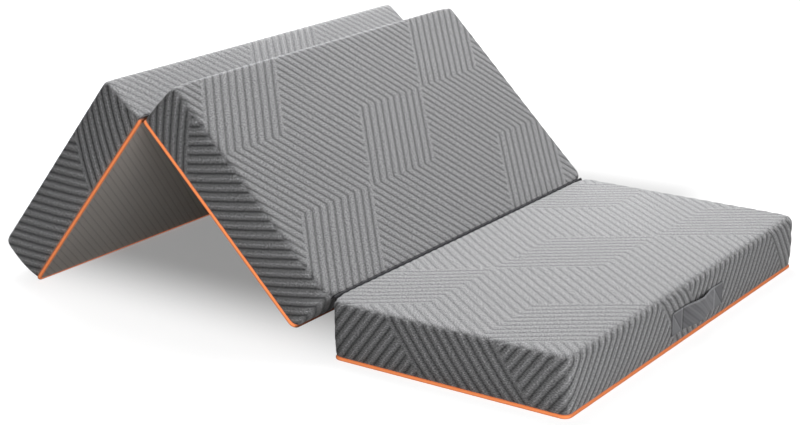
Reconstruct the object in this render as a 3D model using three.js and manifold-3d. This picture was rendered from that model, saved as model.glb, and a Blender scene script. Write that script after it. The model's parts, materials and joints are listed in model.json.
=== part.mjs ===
// A folding mattress of three foam panels in zipped knit covers, in millimetres.
// The base panel lies flat, the middle panel rises from it and the end panel leans down from the peak.
// The origin is the centre of the base panel's underside. +X runs along the mattress, +Y across, +Z up.
import * as THREE from 'three';
import { mergeVertices } from 'three/addons/utils/BufferGeometryUtils.js';
import Module from 'manifold-3d';

const wasm = await Module();
wasm.setup();

// Panels
const panelLength = 633;
const panelWidth = 1220;
const panelThickness = 150;
const foldGap = 3; // between two end faces when the mattress lies flat
const stackGap = 1.5; // between two panels that lie face to face
const middleRise = THREE.MathUtils.degToRad(44.5); // of the middle panel, from lying flat

// Knit covers
const coverWall = 5;
const crownHeight = 3;
const edgeRadius = 18;
const cornerRadius = 24;
const foldCornerRadius = 10; // at the peak, where two panels meet by their undersides
const leastCornerRadius = 3;
const seamTuck = 5; // how far the sides draw in at the seam above the piping
const tuckHeight = 42; // where the sides reach their full width, above the underside
const cornerSteps = 5;
const edgeSteps = 5;
const tuckSteps = 3;
const crownShares = [0.8, 0.6, 0.4, 0.2];

// Underside
const clothThickness = 1.5;
const pipingDiameter = 9;
const pipingInset = 3.5;
const pipingSides = 12;
const seamClearance = 0.4;

// Foam
const memoryFoamThickness = 50;
const foamClearance = 0.5;
const layerGap = 0.3;

// Fold strips
const stripThickness = 1.2;
const stripSag = 3.5;
const stripClearance = 0.5;
const stripSteps = 8;

// Carrying handle, on the base panel's free end
const handleLength = 281;
const handleHeight = 58;
const handleBottom = 38;
const handleOffset = 16; // across the mattress, from its middle
const handlePatchLength = 59; // sewn down at each end
const handleThickness = 2.6;
const handleBow = 16;
const handleClearance = 0.4;
const handleSteps = 16;

// Zips, in the side at +Y
const zipEndMargin = 46.5; // from a zip's ends to the ends of its panel
const zipHeight = 30; // of its middle, above the underside
const zipRecess = 2.4;
const zipClearance = 0.3;
const tapeWidth = 14;
const tapeThickness = 1.2;
const teethWidth = 4.2;
const teethThickness = 1.8;
const teethSteps = 6;
const zipStop = 4;
const sliderLength = 11;
const sliderWidth = 9;
const sliderPlate = 1.2;
const bridgeWidth = 3;
const bridgeOpening = 5;
const bridgeRise = 3;
const bridgeBar = 1.2;
const pullLength = 26;
const pullWidth = 7.6;
const pullThickness = 1.2;
const pullBar = 1.4;
const pullEyeLength = 6;
const pullClearance = 0.6;
const pullEndRadius = 2.5;
const pullEndSteps = 4;
const overrun = 1; // of a cut past the face it opens

// Derived levels and places, in a panel's own frame
const halfLength = panelLength / 2;
const halfWidth = panelWidth / 2;
const zipLength = panelLength - 2 * zipEndMargin;
const edgeTop = panelThickness - crownHeight;
const rimHeight = pipingDiameter + seamClearance;
const pipingRadius = pipingDiameter / 2;
const foamBottom = clothThickness + foamClearance;
const memoryFoamBottom = panelThickness - coverWall - foamClearance - memoryFoamThickness;
const topAxis = new THREE.Vector2(-halfLength - foldGap / 2, panelThickness + stackGap / 2);
const undersideAxis = new THREE.Vector2(-halfLength - foldGap / 2, -stackGap / 2);

// The end panel's lean: its foot piping just reaches the floor that the base panel lies on.
const axisDrop = topAxis.y - undersideAxis.y;
const axisPitch = panelLength + foldGap;
const peakHeight = topAxis.y + axisPitch * Math.sin(middleRise) - axisDrop * Math.cos(middleRise);
const footReach = panelLength + foldGap / 2 - pipingInset - pipingRadius;
const footLift = pipingRadius - undersideAxis.y;
const endLean = Math.atan2(footLift, footReach)
  + Math.asin((peakHeight - pipingRadius) / Math.hypot(footReach, footLift));

// Each panel's name and the end, if any, that it joins by its underside at the peak.
const basePanelPlan = { name: 'base', peakEnd: 0 };
const middlePanelPlan = { name: 'middle', peakEnd: -1 };
const endPanelPlan = { name: 'end', peakEnd: 1 };

// Finishes
const knitGrey = { color: '#8d8e90', roughness: 0.9, metalness: 0 };
const clothGrey = { color: '#7b7672', roughness: 0.95, metalness: 0 };
const pipingOrange = { color: '#f07a3c', roughness: 0.7, metalness: 0 };
const memoryWhite = { color: '#efeee6', roughness: 0.85, metalness: 0 };
const supportCream = { color: '#e3dcc4', roughness: 0.85, metalness: 0 };
const stripCharcoal = { color: '#3c3d40', roughness: 0.9, metalness: 0 };
const strapGrey = { color: '#77787c', roughness: 0.8, metalness: 0 };
const tapeGrey = { color: '#4a4b4e', roughness: 0.85, metalness: 0 };
const teethGrey = { color: '#3a3b3e', roughness: 0.5, metalness: 0 };
const sliderMetal = { color: '#5a5b5f', roughness: 0.4, metalness: 1 };

function piece(group, name, geometry, finish) {
  const mesh = new THREE.Mesh(geometry, new THREE.MeshStandardMaterial(finish));
  mesh.name = name;
  group.add(mesh);
}

// A closed body through rings of equally many points, each ring counterclockwise and above the last.
function loft(rings, closed = false) {
  const count = rings[0].length;
  const points = rings.flat();
  const faces = [];
  rings.forEach((ring, band) => {
    if (band === rings.length - 1 && !closed) return;
    const from = band * count;
    const to = ((band + 1) % rings.length) * count;
    for (let i = 0; i < count; i++) {
      const next = (i + 1) % count;
      faces.push(from + i, from + next, to + next, from + i, to + next, to + i);
    }
  });
  if (!closed) {
    const first = points.length;
    const last = first + 1;
    const lastRing = (rings.length - 1) * count;
    points.push(ringCentre(rings[0]), ringCentre(rings[rings.length - 1]));
    for (let i = 0; i < count; i++) {
      const next = (i + 1) % count;
      faces.push(first, next, i, last, lastRing + i, lastRing + next);
    }
  }
  const geometry = new THREE.BufferGeometry().setFromPoints(points);
  geometry.setIndex(faces);
  return geometry;
}

function ringCentre(ring) {
  const box = new THREE.Box3().setFromPoints(ring);
  return box.getCenter(new THREE.Vector3());
}

// A panel's rounded outline, inset on all sides, and tucked in on all but the peak end.
// Each point carries the outward direction there.
function outline(plan, inset, tuck) {
  const sides = [1, -1, -1, 1];
  const across = [1, 1, -1, -1];
  const stations = [];
  sides.forEach((side, quarter) => {
    const atPeak = side === plan.peakEnd;
    const fullRadius = atPeak ? foldCornerRadius : cornerRadius;
    const radius = Math.max(fullRadius - inset - tuck, leastCornerRadius);
    const reach = halfLength - inset - (atPeak ? 0 : tuck) - radius;
    const spread = halfWidth - inset - tuck - radius;
    for (let step = 0; step <= cornerSteps; step++) {
      const angle = (quarter + step / cornerSteps) * Math.PI / 2;
      const out = new THREE.Vector2(Math.cos(angle), Math.sin(angle));
      const point = new THREE.Vector2(side * reach, across[quarter] * spread).addScaledVector(out, radius);
      stations.push({ point, out });
    }
  });
  return stations;
}

function ringAt(plan, inset, tuck, height, share = 1) {
  return outline(plan, inset, tuck)
    .map(({ point }) => new THREE.Vector3(point.x * share, point.y * share, height));
}

function tuckAt(height) {
  const rise = Math.min(Math.max((height - rimHeight) / (tuckHeight - rimHeight), 0), 1);
  return seamTuck * (1 - rise) ** 2;
}

// The rings of the skin that lies a depth inside a panel's outer face, over the rounded edge to the crown.
function crownRings(plan, depth) {
  const rings = [];
  const radius = edgeRadius - depth;
  for (let step = 0; step <= edgeSteps; step++) {
    const angle = (step / edgeSteps) * Math.PI / 2;
    const inset = edgeRadius - radius * Math.cos(angle);
    rings.push(ringAt(plan, inset, 0, edgeTop - edgeRadius + radius * Math.sin(angle)));
  }
  crownShares.forEach((share) => {
    rings.push(ringAt(plan, edgeRadius, 0, edgeTop - depth + crownHeight * (1 - share ** 2), share));
  });
  return rings;
}

function sideRings(plan, depth) {
  const rings = [];
  for (let step = 0; step <= tuckSteps; step++) {
    const height = rimHeight + (tuckHeight - rimHeight) * (step / tuckSteps);
    rings.push(ringAt(plan, depth, tuckAt(height), height));
  }
  return rings;
}

function box(sizeX, sizeY, sizeZ, x, y, z) {
  return new THREE.BoxGeometry(sizeX, sizeY, sizeZ).translate(x, y, z);
}

function toSolid(geometry) {
  const bare = geometry.clone();
  bare.deleteAttribute('normal');
  bare.deleteAttribute('uv');
  const merged = mergeVertices(bare);
  const triVerts = new Uint32Array(merged.index.array);
  return new wasm.Manifold(new wasm.Mesh({
    numProp: 3, vertProperties: merged.attributes.position.array, triVerts,
  }));
}

function fromSolid(solid) {
  const mesh = solid.getMesh();
  const geometry = new THREE.BufferGeometry();
  geometry.setAttribute('position', new THREE.BufferAttribute(mesh.vertProperties, mesh.numProp));
  geometry.setIndex(new THREE.BufferAttribute(mesh.triVerts, 1));
  return geometry;
}

// The knit shell: one skin outside, one inside, open underneath, with the zip's slot through its side.
function cover(plan) {
  const inner = [...sideRings(plan, coverWall), ...crownRings(plan, coverWall)].reverse();
  const outer = [...sideRings(plan, 0), ...crownRings(plan, 0)];
  const slot = box(
    zipLength + 2 * zipClearance,
    coverWall + seamTuck + overrun,
    tapeWidth + 2 * zipClearance,
    0,
    halfWidth - (coverWall + seamTuck) / 2,
    zipHeight,
  );
  return fromSolid(toSolid(loft([...inner, ...outer])).subtract(toSolid(slot)));
}

function memoryFoam(plan) {
  const depth = coverWall + foamClearance;
  return loft([ringAt(plan, depth, 0, memoryFoamBottom), ...crownRings(plan, depth)]);
}

function supportFoam(plan) {
  const depth = coverWall + foamClearance;
  const besidePiping = pipingDiameter + foamClearance;
  return loft([
    ringAt(plan, besidePiping, pipingInset, foamBottom),
    ringAt(plan, besidePiping, pipingInset, besidePiping),
    ...sideRings(plan, depth).slice(1),
    ringAt(plan, depth, 0, memoryFoamBottom - layerGap),
  ]);
}

function bottomCloth(plan) {
  const shape = new THREE.Shape(
    outline(plan, pipingDiameter + seamClearance, pipingInset).map(({ point }) => point),
  );
  return new THREE.ExtrudeGeometry(shape, { depth: clothThickness, bevelEnabled: false });
}

function piping(plan) {
  const rings = outline(plan, pipingRadius, pipingInset).map(({ point, out }) => {
    const ring = [];
    for (let side = 0; side < pipingSides; side++) {
      const angle = -(side / pipingSides) * Math.PI * 2;
      const reach = pipingRadius * Math.cos(angle);
      ring.push(new THREE.Vector3(
        point.x + out.x * reach,
        point.y + out.y * reach,
        pipingRadius + pipingRadius * Math.sin(angle),
      ));
    }
    return ring;
  });
  return loft(rings, true);
}

// The zip's tape is let into the panel's side. Its outer face is the level that its other pieces build on.
const tapeFace = halfWidth - zipRecess;
const plateUnderside = tapeFace + zipClearance + teethThickness + zipClearance;
const plateTop = plateUnderside + sliderPlate;
const pullAxisLevel = plateTop + bridgeRise / 2;
const sliderPlace = zipLength / 2 - zipStop - sliderLength / 2;

// An extrusion of a shape drawn in (along, out) into the panel's frame, centred at a height.
function extrudeUp(shape, depth, height) {
  return new THREE.ExtrudeGeometry(shape, { depth, bevelEnabled: false }).translate(0, 0, height - depth / 2);
}

// An extrusion of a shape drawn in (out, up) along +X, centred at a place along the zip.
function extrudeAlong(shape, length, place) {
  return new THREE.ExtrudeGeometry(shape, { depth: length, bevelEnabled: false })
    .rotateY(Math.PI / 2)
    .rotateX(Math.PI / 2)
    .translate(place - length / 2, 0, 0);
}

function zipTeeth() {
  const shape = new THREE.Shape();
  const foot = tapeFace + zipClearance;
  for (let step = 0; step <= teethSteps; step++) {
    const angle = (step / teethSteps) * Math.PI;
    const up = zipHeight - (teethWidth / 2) * Math.cos(angle);
    const out = foot + teethThickness * Math.sin(angle);
    if (step === 0) shape.moveTo(out, up);
    else shape.lineTo(out, up);
  }
  return extrudeAlong(shape, zipLength - 2 * zipClearance, 0);
}

function zipSlider() {
  const flange = (sliderWidth - teethWidth) / 2 - zipClearance;
  const low = zipHeight - sliderWidth / 2;
  const high = zipHeight + sliderWidth / 2;
  const foot = tapeFace + zipClearance;
  const body = new THREE.Shape([
    new THREE.Vector2(foot, low),
    new THREE.Vector2(plateTop, low),
    new THREE.Vector2(plateTop, high),
    new THREE.Vector2(foot, high),
    new THREE.Vector2(foot, high - flange),
    new THREE.Vector2(plateUnderside, high - flange),
    new THREE.Vector2(plateUnderside, low + flange),
    new THREE.Vector2(foot, low + flange),
  ]);
  const inner = bridgeOpening / 2;
  const outer = inner + bridgeBar;
  const sunk = plateTop - sliderPlate / 2;
  const bridge = new THREE.Shape([
    new THREE.Vector2(sliderPlace - outer, sunk),
    new THREE.Vector2(sliderPlace - inner, sunk),
    new THREE.Vector2(sliderPlace - inner, plateTop + bridgeRise),
    new THREE.Vector2(sliderPlace + inner, plateTop + bridgeRise),
    new THREE.Vector2(sliderPlace + inner, sunk),
    new THREE.Vector2(sliderPlace + outer, sunk),
    new THREE.Vector2(sliderPlace + outer, plateTop + bridgeRise),
    new THREE.Vector2(sliderPlace + inner, plateTop + bridgeRise + bridgeBar),
    new THREE.Vector2(sliderPlace - inner, plateTop + bridgeRise + bridgeBar),
    new THREE.Vector2(sliderPlace - outer, plateTop + bridgeRise),
  ]);
  const plate = toSolid(extrudeAlong(body, sliderLength, sliderPlace));
  return fromSolid(plate.add(toSolid(extrudeUp(bridge, bridgeWidth, zipHeight))));
}

// The pull hangs by its eye from the slider's bridge and lies back along the closed zip.
function zipPull() {
  const barEnd = pullBar / 2;
  const half = pullWidth / 2;
  const shape = new THREE.Shape();
  shape.moveTo(barEnd, -half);
  shape.lineTo(barEnd, half);
  for (let corner = 0; corner < 2; corner++) {
    const side = corner === 0 ? 1 : -1;
    for (let step = 0; step <= pullEndSteps; step++) {
      const angle = (step / pullEndSteps + corner) * Math.PI / 2;
      shape.lineTo(
        -pullLength + pullEndRadius * (1 - Math.sin(angle)),
        side * (half - pullEndRadius) + pullEndRadius * Math.cos(angle),
      );
    }
  }
  const eye = new THREE.Path();
  const eyeHalf = bridgeWidth / 2 + pullClearance;
  eye.moveTo(-barEnd, -eyeHalf);
  eye.lineTo(-barEnd - pullEyeLength, -eyeHalf);
  eye.lineTo(-barEnd - pullEyeLength, eyeHalf);
  eye.lineTo(-barEnd, eyeHalf);
  eye.closePath();
  shape.holes.push(eye);
  return new THREE.ExtrudeGeometry(shape, { depth: pullThickness, bevelEnabled: false })
    .rotateX(Math.PI / 2)
    .translate(sliderPlace, pullAxisLevel + pullThickness / 2, zipHeight);
}

function panel(plan) {
  const group = new THREE.Group();
  piece(group, `${plan.name}_cover`, cover(plan), knitGrey);
  piece(group, `${plan.name}_memory_foam`, memoryFoam(plan), memoryWhite);
  piece(group, `${plan.name}_support_foam`, supportFoam(plan), supportCream);
  piece(group, `${plan.name}_bottom_cloth`, bottomCloth(plan), clothGrey);
  piece(group, `${plan.name}_piping`, piping(plan), pipingOrange);
  piece(
    group,
    `${plan.name}_zip_tape`,
    box(zipLength, tapeThickness, tapeWidth, 0, tapeFace - tapeThickness / 2, zipHeight),
    tapeGrey,
  );
  piece(group, `${plan.name}_zip_teeth`, zipTeeth(), teethGrey);
  piece(group, `${plan.name}_zip_slider`, zipSlider(), sliderMetal);
  piece(group, `${plan.name}_zip_pull`, zipPull(), sliderMetal);
  return group;
}

// The handle is sewn flat at both ends and bows out between them.
function handle() {
  const shape = new THREE.Shape();
  const face = halfLength + handleClearance;
  const bowLength = handleLength - 2 * handlePatchLength;
  const bowAt = (share) => (handleBow * (1 - Math.cos(share * Math.PI * 2))) / 2;
  const placeAt = (share) => handleOffset + (share - 1 / 2) * bowLength;
  const patchEnd = handleLength / 2;
  shape.moveTo(face, handleOffset - patchEnd);
  for (let step = 0; step <= handleSteps; step++) {
    const share = step / handleSteps;
    shape.lineTo(face + bowAt(share), placeAt(share));
  }
  shape.lineTo(face, handleOffset + patchEnd);
  shape.lineTo(face + handleThickness, handleOffset + patchEnd);
  for (let step = handleSteps; step >= 0; step--) {
    const share = step / handleSteps;
    shape.lineTo(face + handleThickness + bowAt(share), placeAt(share));
  }
  shape.lineTo(face + handleThickness, handleOffset - patchEnd);
  return extrudeUp(shape, handleHeight, handleBottom + handleHeight / 2);
}

// A strip that bridges a fold from one panel to the next, sagging a little. Its section is drawn in (x, z).
function foldStrip(from, to) {
  const across = new THREE.Vector2().subVectors(to, from);
  const down = new THREE.Vector2(-across.y, across.x).normalize();
  const middle = new THREE.Vector2().addVectors(from, to).multiplyScalar(1 / 2);
  const curve = new THREE.QuadraticBezierCurve(from, middle.addScaledVector(down, 2 * stripSag), to);
  const near = [];
  const far = [];
  for (let step = 0; step <= stripSteps; step++) {
    const point = curve.getPoint(step / stripSteps);
    const tangent = curve.getTangent(step / stripSteps);
    const side = new THREE.Vector2(-tangent.y, tangent.x).multiplyScalar(stripThickness / 2);
    near.push(point.clone().sub(side));
    far.unshift(point.clone().add(side));
  }
  const length = panelWidth - 2 * (cornerRadius + stripClearance);
  return new THREE.ExtrudeGeometry(new THREE.Shape([...near, ...far]), { depth: length, bevelEnabled: false })
    .rotateX(Math.PI / 2)
    .translate(0, length / 2, 0);
}

// A point of a turned panel's (x, z) section, in the frame of the panel that carries it.
function carried(point, axis, turn) {
  const x = point.x + axis.x;
  const z = point.y - axis.y;
  return new THREE.Vector2(
    axis.x + x * Math.cos(turn) + z * Math.sin(turn),
    axis.y - x * Math.sin(turn) + z * Math.cos(turn),
  );
}

// The end panel's turn from lying flat behind the middle panel.
const endTurn = -(middleRise + endLean);

const stripStand = stripClearance + stripThickness / 2;
const edgeShare = 1 - Math.SQRT1_2; // of the edge radius: how deep the middle of the rounded edge lies
const edgeSeam = edgeRadius * edgeShare - stripStand * Math.SQRT1_2;
const topSeam = new THREE.Vector2(halfLength - edgeSeam, edgeTop - edgeSeam);
const peakSeam = new THREE.Vector2(halfLength + stripStand, rimHeight + stripStand);

function mirrored(point) {
  return new THREE.Vector2(-point.x, point.y);
}

// The panels hang in a chain: each is hinged at the low-X end of the panel that carries it.
function hinged(carrier, axis, turn, contents) {
  const pivot = new THREE.Group();
  pivot.position.set(axis.x, 0, axis.y);
  pivot.rotation.y = turn;
  contents.position.set(axis.x, 0, -axis.y);
  pivot.add(contents);
  carrier.add(pivot);
}

const basePanel = panel(basePanelPlan);
const middlePanel = panel(middlePanelPlan);
const endPanel = panel(endPanelPlan);
hinged(basePanel, topAxis, middleRise, middlePanel);
hinged(middlePanel, undersideAxis, endTurn, endPanel);

piece(basePanel, 'handle_strap', handle(), strapGrey);
piece(
  basePanel,
  'top_hinge_strip',
  foldStrip(mirrored(topSeam), carried(topSeam, topAxis, middleRise)),
  stripCharcoal,
);
piece(
  middlePanel,
  'peak_hinge_strip',
  foldStrip(mirrored(peakSeam), carried(peakSeam, undersideAxis, endTurn)),
  stripCharcoal,
);

const mattress = new THREE.Group();
mattress.add(basePanel);

export default mattress;
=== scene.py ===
import json
import math

import bmesh
import bpy
import numpy as np
from mathutils import Matrix, Vector


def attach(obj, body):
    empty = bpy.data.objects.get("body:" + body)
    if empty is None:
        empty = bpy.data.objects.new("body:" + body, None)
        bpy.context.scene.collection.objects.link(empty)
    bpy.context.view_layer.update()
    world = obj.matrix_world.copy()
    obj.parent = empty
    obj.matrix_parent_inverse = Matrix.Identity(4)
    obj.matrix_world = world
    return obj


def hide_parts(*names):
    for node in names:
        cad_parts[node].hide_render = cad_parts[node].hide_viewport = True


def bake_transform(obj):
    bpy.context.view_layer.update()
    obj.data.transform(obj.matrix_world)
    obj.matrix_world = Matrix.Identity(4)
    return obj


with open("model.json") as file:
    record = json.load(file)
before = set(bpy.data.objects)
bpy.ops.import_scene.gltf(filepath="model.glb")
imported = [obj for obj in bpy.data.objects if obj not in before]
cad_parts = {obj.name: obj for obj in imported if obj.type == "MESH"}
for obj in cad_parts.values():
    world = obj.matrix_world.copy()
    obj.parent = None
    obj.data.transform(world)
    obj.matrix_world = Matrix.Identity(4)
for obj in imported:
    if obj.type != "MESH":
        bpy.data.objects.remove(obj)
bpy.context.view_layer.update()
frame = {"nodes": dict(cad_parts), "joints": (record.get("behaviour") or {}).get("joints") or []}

bpy.context.scene.view_settings.view_transform = "Standard"
joints = {joint["name"]: joint for joint in frame["joints"]}
print("frame loaded:", len(frame["nodes"]), "nodes")

# Sizes of one panel, in its own frame: +X along the mattress, +Y towards the zip, +Z out of its top
panel = {
    "length": 0.633,
    "width": 1.22,
    "thickness": 0.15,
    "edgeTop": 0.147,
    "crown": 0.0028,
    "edgeRadius": 0.018,
    "cornerRadius": 0.024,
    "foldCornerRadius": 0.010,
    "leastRadius": 0.003,
    "seamHeight": 0.0094,
    "seamTuck": 0.005,
    "tuckHeight": 0.085,
    "foldPoint": 0.318,  # from the middle to a fold's axis
    "topFold": 0.15075,
    "undersideFold": -0.00075,
}
halfLength = panel["length"] / 2
halfWidth = panel["width"] / 2


def panelMatrix(zipJoint, foldJoint, foldHeight):
    along = -Vector(joints[zipJoint]["axis"]).normalized()
    across = Vector((0, 1, 0))
    turn = Matrix((along, across, along.cross(across))).transposed()
    foldPoint = Vector((panel["foldPoint"], 0, foldHeight))
    place = Vector(joints[foldJoint]["pos_m"]) - turn @ foldPoint
    return Matrix.Translation(place) @ turn.to_4x4()


# In each plan, shaded lists the ends whose piping runs take no painted glow and are darkened as painted shade.
panels = {
    "base": {
        "matrix": Matrix.Identity(4),
        "peakEnd": 0,
        "body": "base_panel",
        "edges": {-1: 0.005, 1: 0.022},
        "shaded": (-1,),
    },
    "middle": {
        "matrix": panelMatrix("middle_zip", "middle_fold", panel["topFold"]),
        "peakEnd": -1,
        "edges": {1: 0.005, -1: 0.010},  # radii of the top edge at the two ends
        "shaded": (-1, 1),
        "body": "middle_panel",
    },
    "end": {
        "matrix": panelMatrix("end_zip", "end_fold", panel["undersideFold"]),
        "peakEnd": 1,
        "edges": {1: 0.016, -1: 0.016},
        "shaded": (-1, 1),
        "body": "end_panel",
    },
}


# Camera and lights

camera = {
    "azimuth": 34.55,
    "elevation": 17.44,
    "roll": -0.19,
    "lens": 80.16,
    "place": (1.9990, -3.6840, 1.5653),
}


def makeCamera():
    data = bpy.data.cameras.new("camera")
    data.lens = camera["lens"]
    data.sensor_width = 36
    data.clip_end = 60
    piece = bpy.data.objects.new("camera", data)
    bpy.context.scene.collection.objects.link(piece)
    azimuth = math.radians(camera["azimuth"])
    elevation = math.radians(camera["elevation"])
    roll = math.radians(camera["roll"])
    back = Vector((
        math.sin(azimuth) * math.cos(elevation),
        -math.cos(azimuth) * math.cos(elevation),
        math.sin(elevation),
    ))
    right = Vector((math.cos(azimuth), math.sin(azimuth), 0))
    up = back.cross(right)
    turnedRight = right * math.cos(roll) + up * math.sin(roll)
    turnedUp = -right * math.sin(roll) + up * math.cos(roll)
    turn = Matrix((turnedRight, turnedUp, back)).transposed()
    piece.matrix_world = Matrix.Translation(camera["place"]) @ turn.to_4x4()
    bpy.context.scene.camera = piece


lights = {
    "overhead": {"toward": (-0.3, 0.3, 0.9), "power": 198},
    "rearLeft": {"toward": (-0.6, 0.6, 0.5), "power": 115},
    "right": {"toward": (0.95, 0, 0.3), "power": 20},
    "front": {"toward": (0.78, -0.62, 0.03), "power": 54},
}
lampAim = (-0.5, 0, 0.2)
lampDistance = 4.2
lampSize = 2.4
worldStrength = 0.0


def makeLights():
    for name, light in lights.items():
        data = bpy.data.lights.new(name, "AREA")
        data.shape = "SQUARE"
        data.size = lampSize
        data.energy = light["power"]
        piece = bpy.data.objects.new(name, data)
        toward = Vector(light["toward"]).normalized()
        piece.location = Vector(lampAim) + toward * lampDistance
        piece.rotation_mode = "QUATERNION"
        piece.rotation_quaternion = (-toward).to_track_quat("-Z", "Y")
        bpy.context.scene.collection.objects.link(piece)
    world = bpy.data.worlds.new("studio")
    world.use_nodes = True
    tree = world.node_tree
    tree.nodes.clear()
    output = tree.nodes.new("ShaderNodeOutputWorld")
    seen = tree.nodes.new("ShaderNodeBackground")
    seen.inputs["Strength"].default_value = 1.0
    lit = tree.nodes.new("ShaderNodeBackground")
    lit.inputs["Strength"].default_value = worldStrength
    mix = tree.nodes.new("ShaderNodeMixShader")
    path = tree.nodes.new("ShaderNodeLightPath")
    tree.links.new(directly(tree, path), mix.inputs[0])
    tree.links.new(lit.outputs[0], mix.inputs[1])
    tree.links.new(seen.outputs[0], mix.inputs[2])
    tree.links.new(mix.outputs[0], output.inputs["Surface"])
    bpy.context.scene.world = world


# Small helpers for node trees, which serve materials and geometry alike


def feed(tree, socket, value):
    if isinstance(value, bpy.types.NodeSocket):
        tree.links.new(value, socket)
    else:
        socket.default_value = value


def work(tree, operation, *values):
    node = tree.nodes.new("ShaderNodeMath")
    node.operation = operation
    for socket, value in zip(node.inputs, values):
        feed(tree, socket, value)
    return node.outputs[0]


def smoothBetween(tree, value, low, high, start=0.0, end=1.0):
    node = tree.nodes.new("ShaderNodeMapRange")
    node.interpolation_type = "SMOOTHSTEP"
    for socket, given in zip(node.inputs, (value, low, high, start, end)):
        feed(tree, socket, given)
    return node.outputs[0]


def directly(tree, path):
    seen = work(tree, "MAXIMUM", path.outputs["Is Camera Ray"], path.outputs["Is Glossy Ray"])
    return work(tree, "MAXIMUM", seen, path.outputs["Is Transmission Ray"])


def newTree(name, kind, inputs, outputs):
    tree = bpy.data.node_groups.new(name, kind)
    for label, socketKind, default in inputs:
        socket = tree.interface.new_socket(label, in_out="INPUT", socket_type=socketKind)
        if default is not None:
            socket.default_value = default
    for label, socketKind in outputs:
        tree.interface.new_socket(label, in_out="OUTPUT", socket_type=socketKind)
    given = tree.nodes.new("NodeGroupInput")
    result = tree.nodes.new("NodeGroupOutput")
    return tree, given.outputs, result.inputs


def useGroup(tree, group, kind, **values):
    node = tree.nodes.new(kind)
    node.node_tree = group
    for label, value in values.items():
        feed(tree, node.inputs[label], value)
    return node.outputs


def addNodes(piece, tree, values):
    modifier = piece.modifiers.new(tree.name, "NODES")
    modifier.node_group = tree
    for item in tree.interface.items_tree:
        if item.item_type == "SOCKET" and item.in_out == "INPUT" and item.name in values:
            modifier[item.identifier] = values[item.name]
    return modifier


def settle(piece):
    # The evaluated mesh takes the place of the mesh with its modifiers.
    bpy.context.view_layer.update()
    depsgraph = bpy.context.evaluated_depsgraph_get()
    made = bpy.data.meshes.new_from_object(piece.evaluated_get(depsgraph))
    made.name = piece.name
    piece.modifiers.clear()
    piece.data = made
    return piece


def newPiece(name, points, faces, edges=()):
    mesh = bpy.data.meshes.new(name)
    mesh.from_pydata(np.asarray(points, float).tolist(), list(edges), [list(map(int, face)) for face in faces])
    mesh.update()
    piece = bpy.data.objects.new(name, mesh)
    bpy.context.scene.collection.objects.link(piece)
    return piece


def placesOf(mesh):
    places = np.empty(len(mesh.vertices) * 3)
    mesh.vertices.foreach_get("co", places)
    return places.reshape(-1, 3)


def setPlaces(mesh, places):
    mesh.vertices.foreach_set("co", np.asarray(places, np.float32).ravel())
    mesh.update()


def setValues(mesh, name, values):
    attribute = mesh.attributes.new(name, "FLOAT", "POINT")
    attribute.data.foreach_set("value", np.asarray(values, np.float32))


def smoothStep(low, high, value):
    share = np.clip((value - low) / (high - low), 0, 1)
    return share * share * (3 - 2 * share)


def dress(piece, material):
    piece.data.materials.clear()
    piece.data.materials.append(material)


def shadeSmooth(piece, angle=None):
    if angle is None:
        piece.data.polygons.foreach_set("use_smooth", [True] * len(piece.data.polygons))
    else:
        piece.data.shade_smooth()
        piece.data.set_sharp_from_angle(angle=angle)


def finishPiece(piece, name, nodeNames, body, matrix=None):
    # A piece made in its panel's frame is moved there in its mesh, and then rides on its body.
    if matrix is not None:
        piece.data.transform(matrix)
        piece.data.update()
    piece.name = name
    if nodeNames:
        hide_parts(*nodeNames)
    if body:
        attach(piece, body)
    return piece


# Materials


def makeVariation():
    # Broad soft changes of tone, as in any washed and handled fabric
    tree, given, result = newTree(
        "softVariation",
        "ShaderNodeTree",
        [("Scale", "NodeSocketFloat", 6.0), ("Amount", "NodeSocketFloat", 0.08)],
        [("Tone", "NodeSocketFloat")],
    )
    coordinate = tree.nodes.new("ShaderNodeTexCoord")
    noise = tree.nodes.new("ShaderNodeTexNoise")
    noise.inputs["Detail"].default_value = 3
    tree.links.new(coordinate.outputs["Object"], noise.inputs["Vector"])
    tree.links.new(given["Scale"], noise.inputs["Scale"])
    centred = work(tree, "SUBTRACT", noise.outputs["Fac"], 0.5)
    tree.links.new(work(tree, "MULTIPLY_ADD", centred, given["Amount"], 1.0), result["Tone"])
    return tree


def makeKnit():
    # Courses of short strokes, in metres of cloth read from the piece's own map
    tree, given, result = newTree(
        "knitStrokes",
        "ShaderNodeTree",
        [("Course", "NodeSocketFloat", 0.0024), ("Stroke", "NodeSocketFloat", 0.0054)],
        [("Height", "NodeSocketFloat"), ("Tone", "NodeSocketFloat")],
    )
    cloth = tree.nodes.new("ShaderNodeUVMap")
    cloth.uv_map = "cloth"
    parts = tree.nodes.new("ShaderNodeSeparateXYZ")
    tree.links.new(cloth.outputs["UV"], parts.inputs[0])
    across = work(tree, "DIVIDE", parts.outputs["X"], given["Stroke"])
    down = work(tree, "DIVIDE", parts.outputs["Y"], given["Course"])
    place = tree.nodes.new("ShaderNodeCombineXYZ")
    tree.links.new(across, place.inputs[0])
    tree.links.new(down, place.inputs[1])
    strokes = tree.nodes.new("ShaderNodeTexNoise")
    strokes.inputs["Scale"].default_value = 1.0
    strokes.inputs["Detail"].default_value = 1.5
    tree.links.new(place.outputs[0], strokes.inputs["Vector"])
    course = work(tree, "SINE", work(tree, "MULTIPLY", down, 2 * math.pi))
    height = work(tree, "MULTIPLY_ADD", course, 0.2, work(tree, "MULTIPLY", strokes.outputs["Fac"], 1.2))
    tree.links.new(height, result["Height"])
    sharp = smoothBetween(tree, strokes.outputs["Fac"], 0.32, 0.68)
    tree.links.new(sharp, result["Tone"])
    return tree


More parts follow.
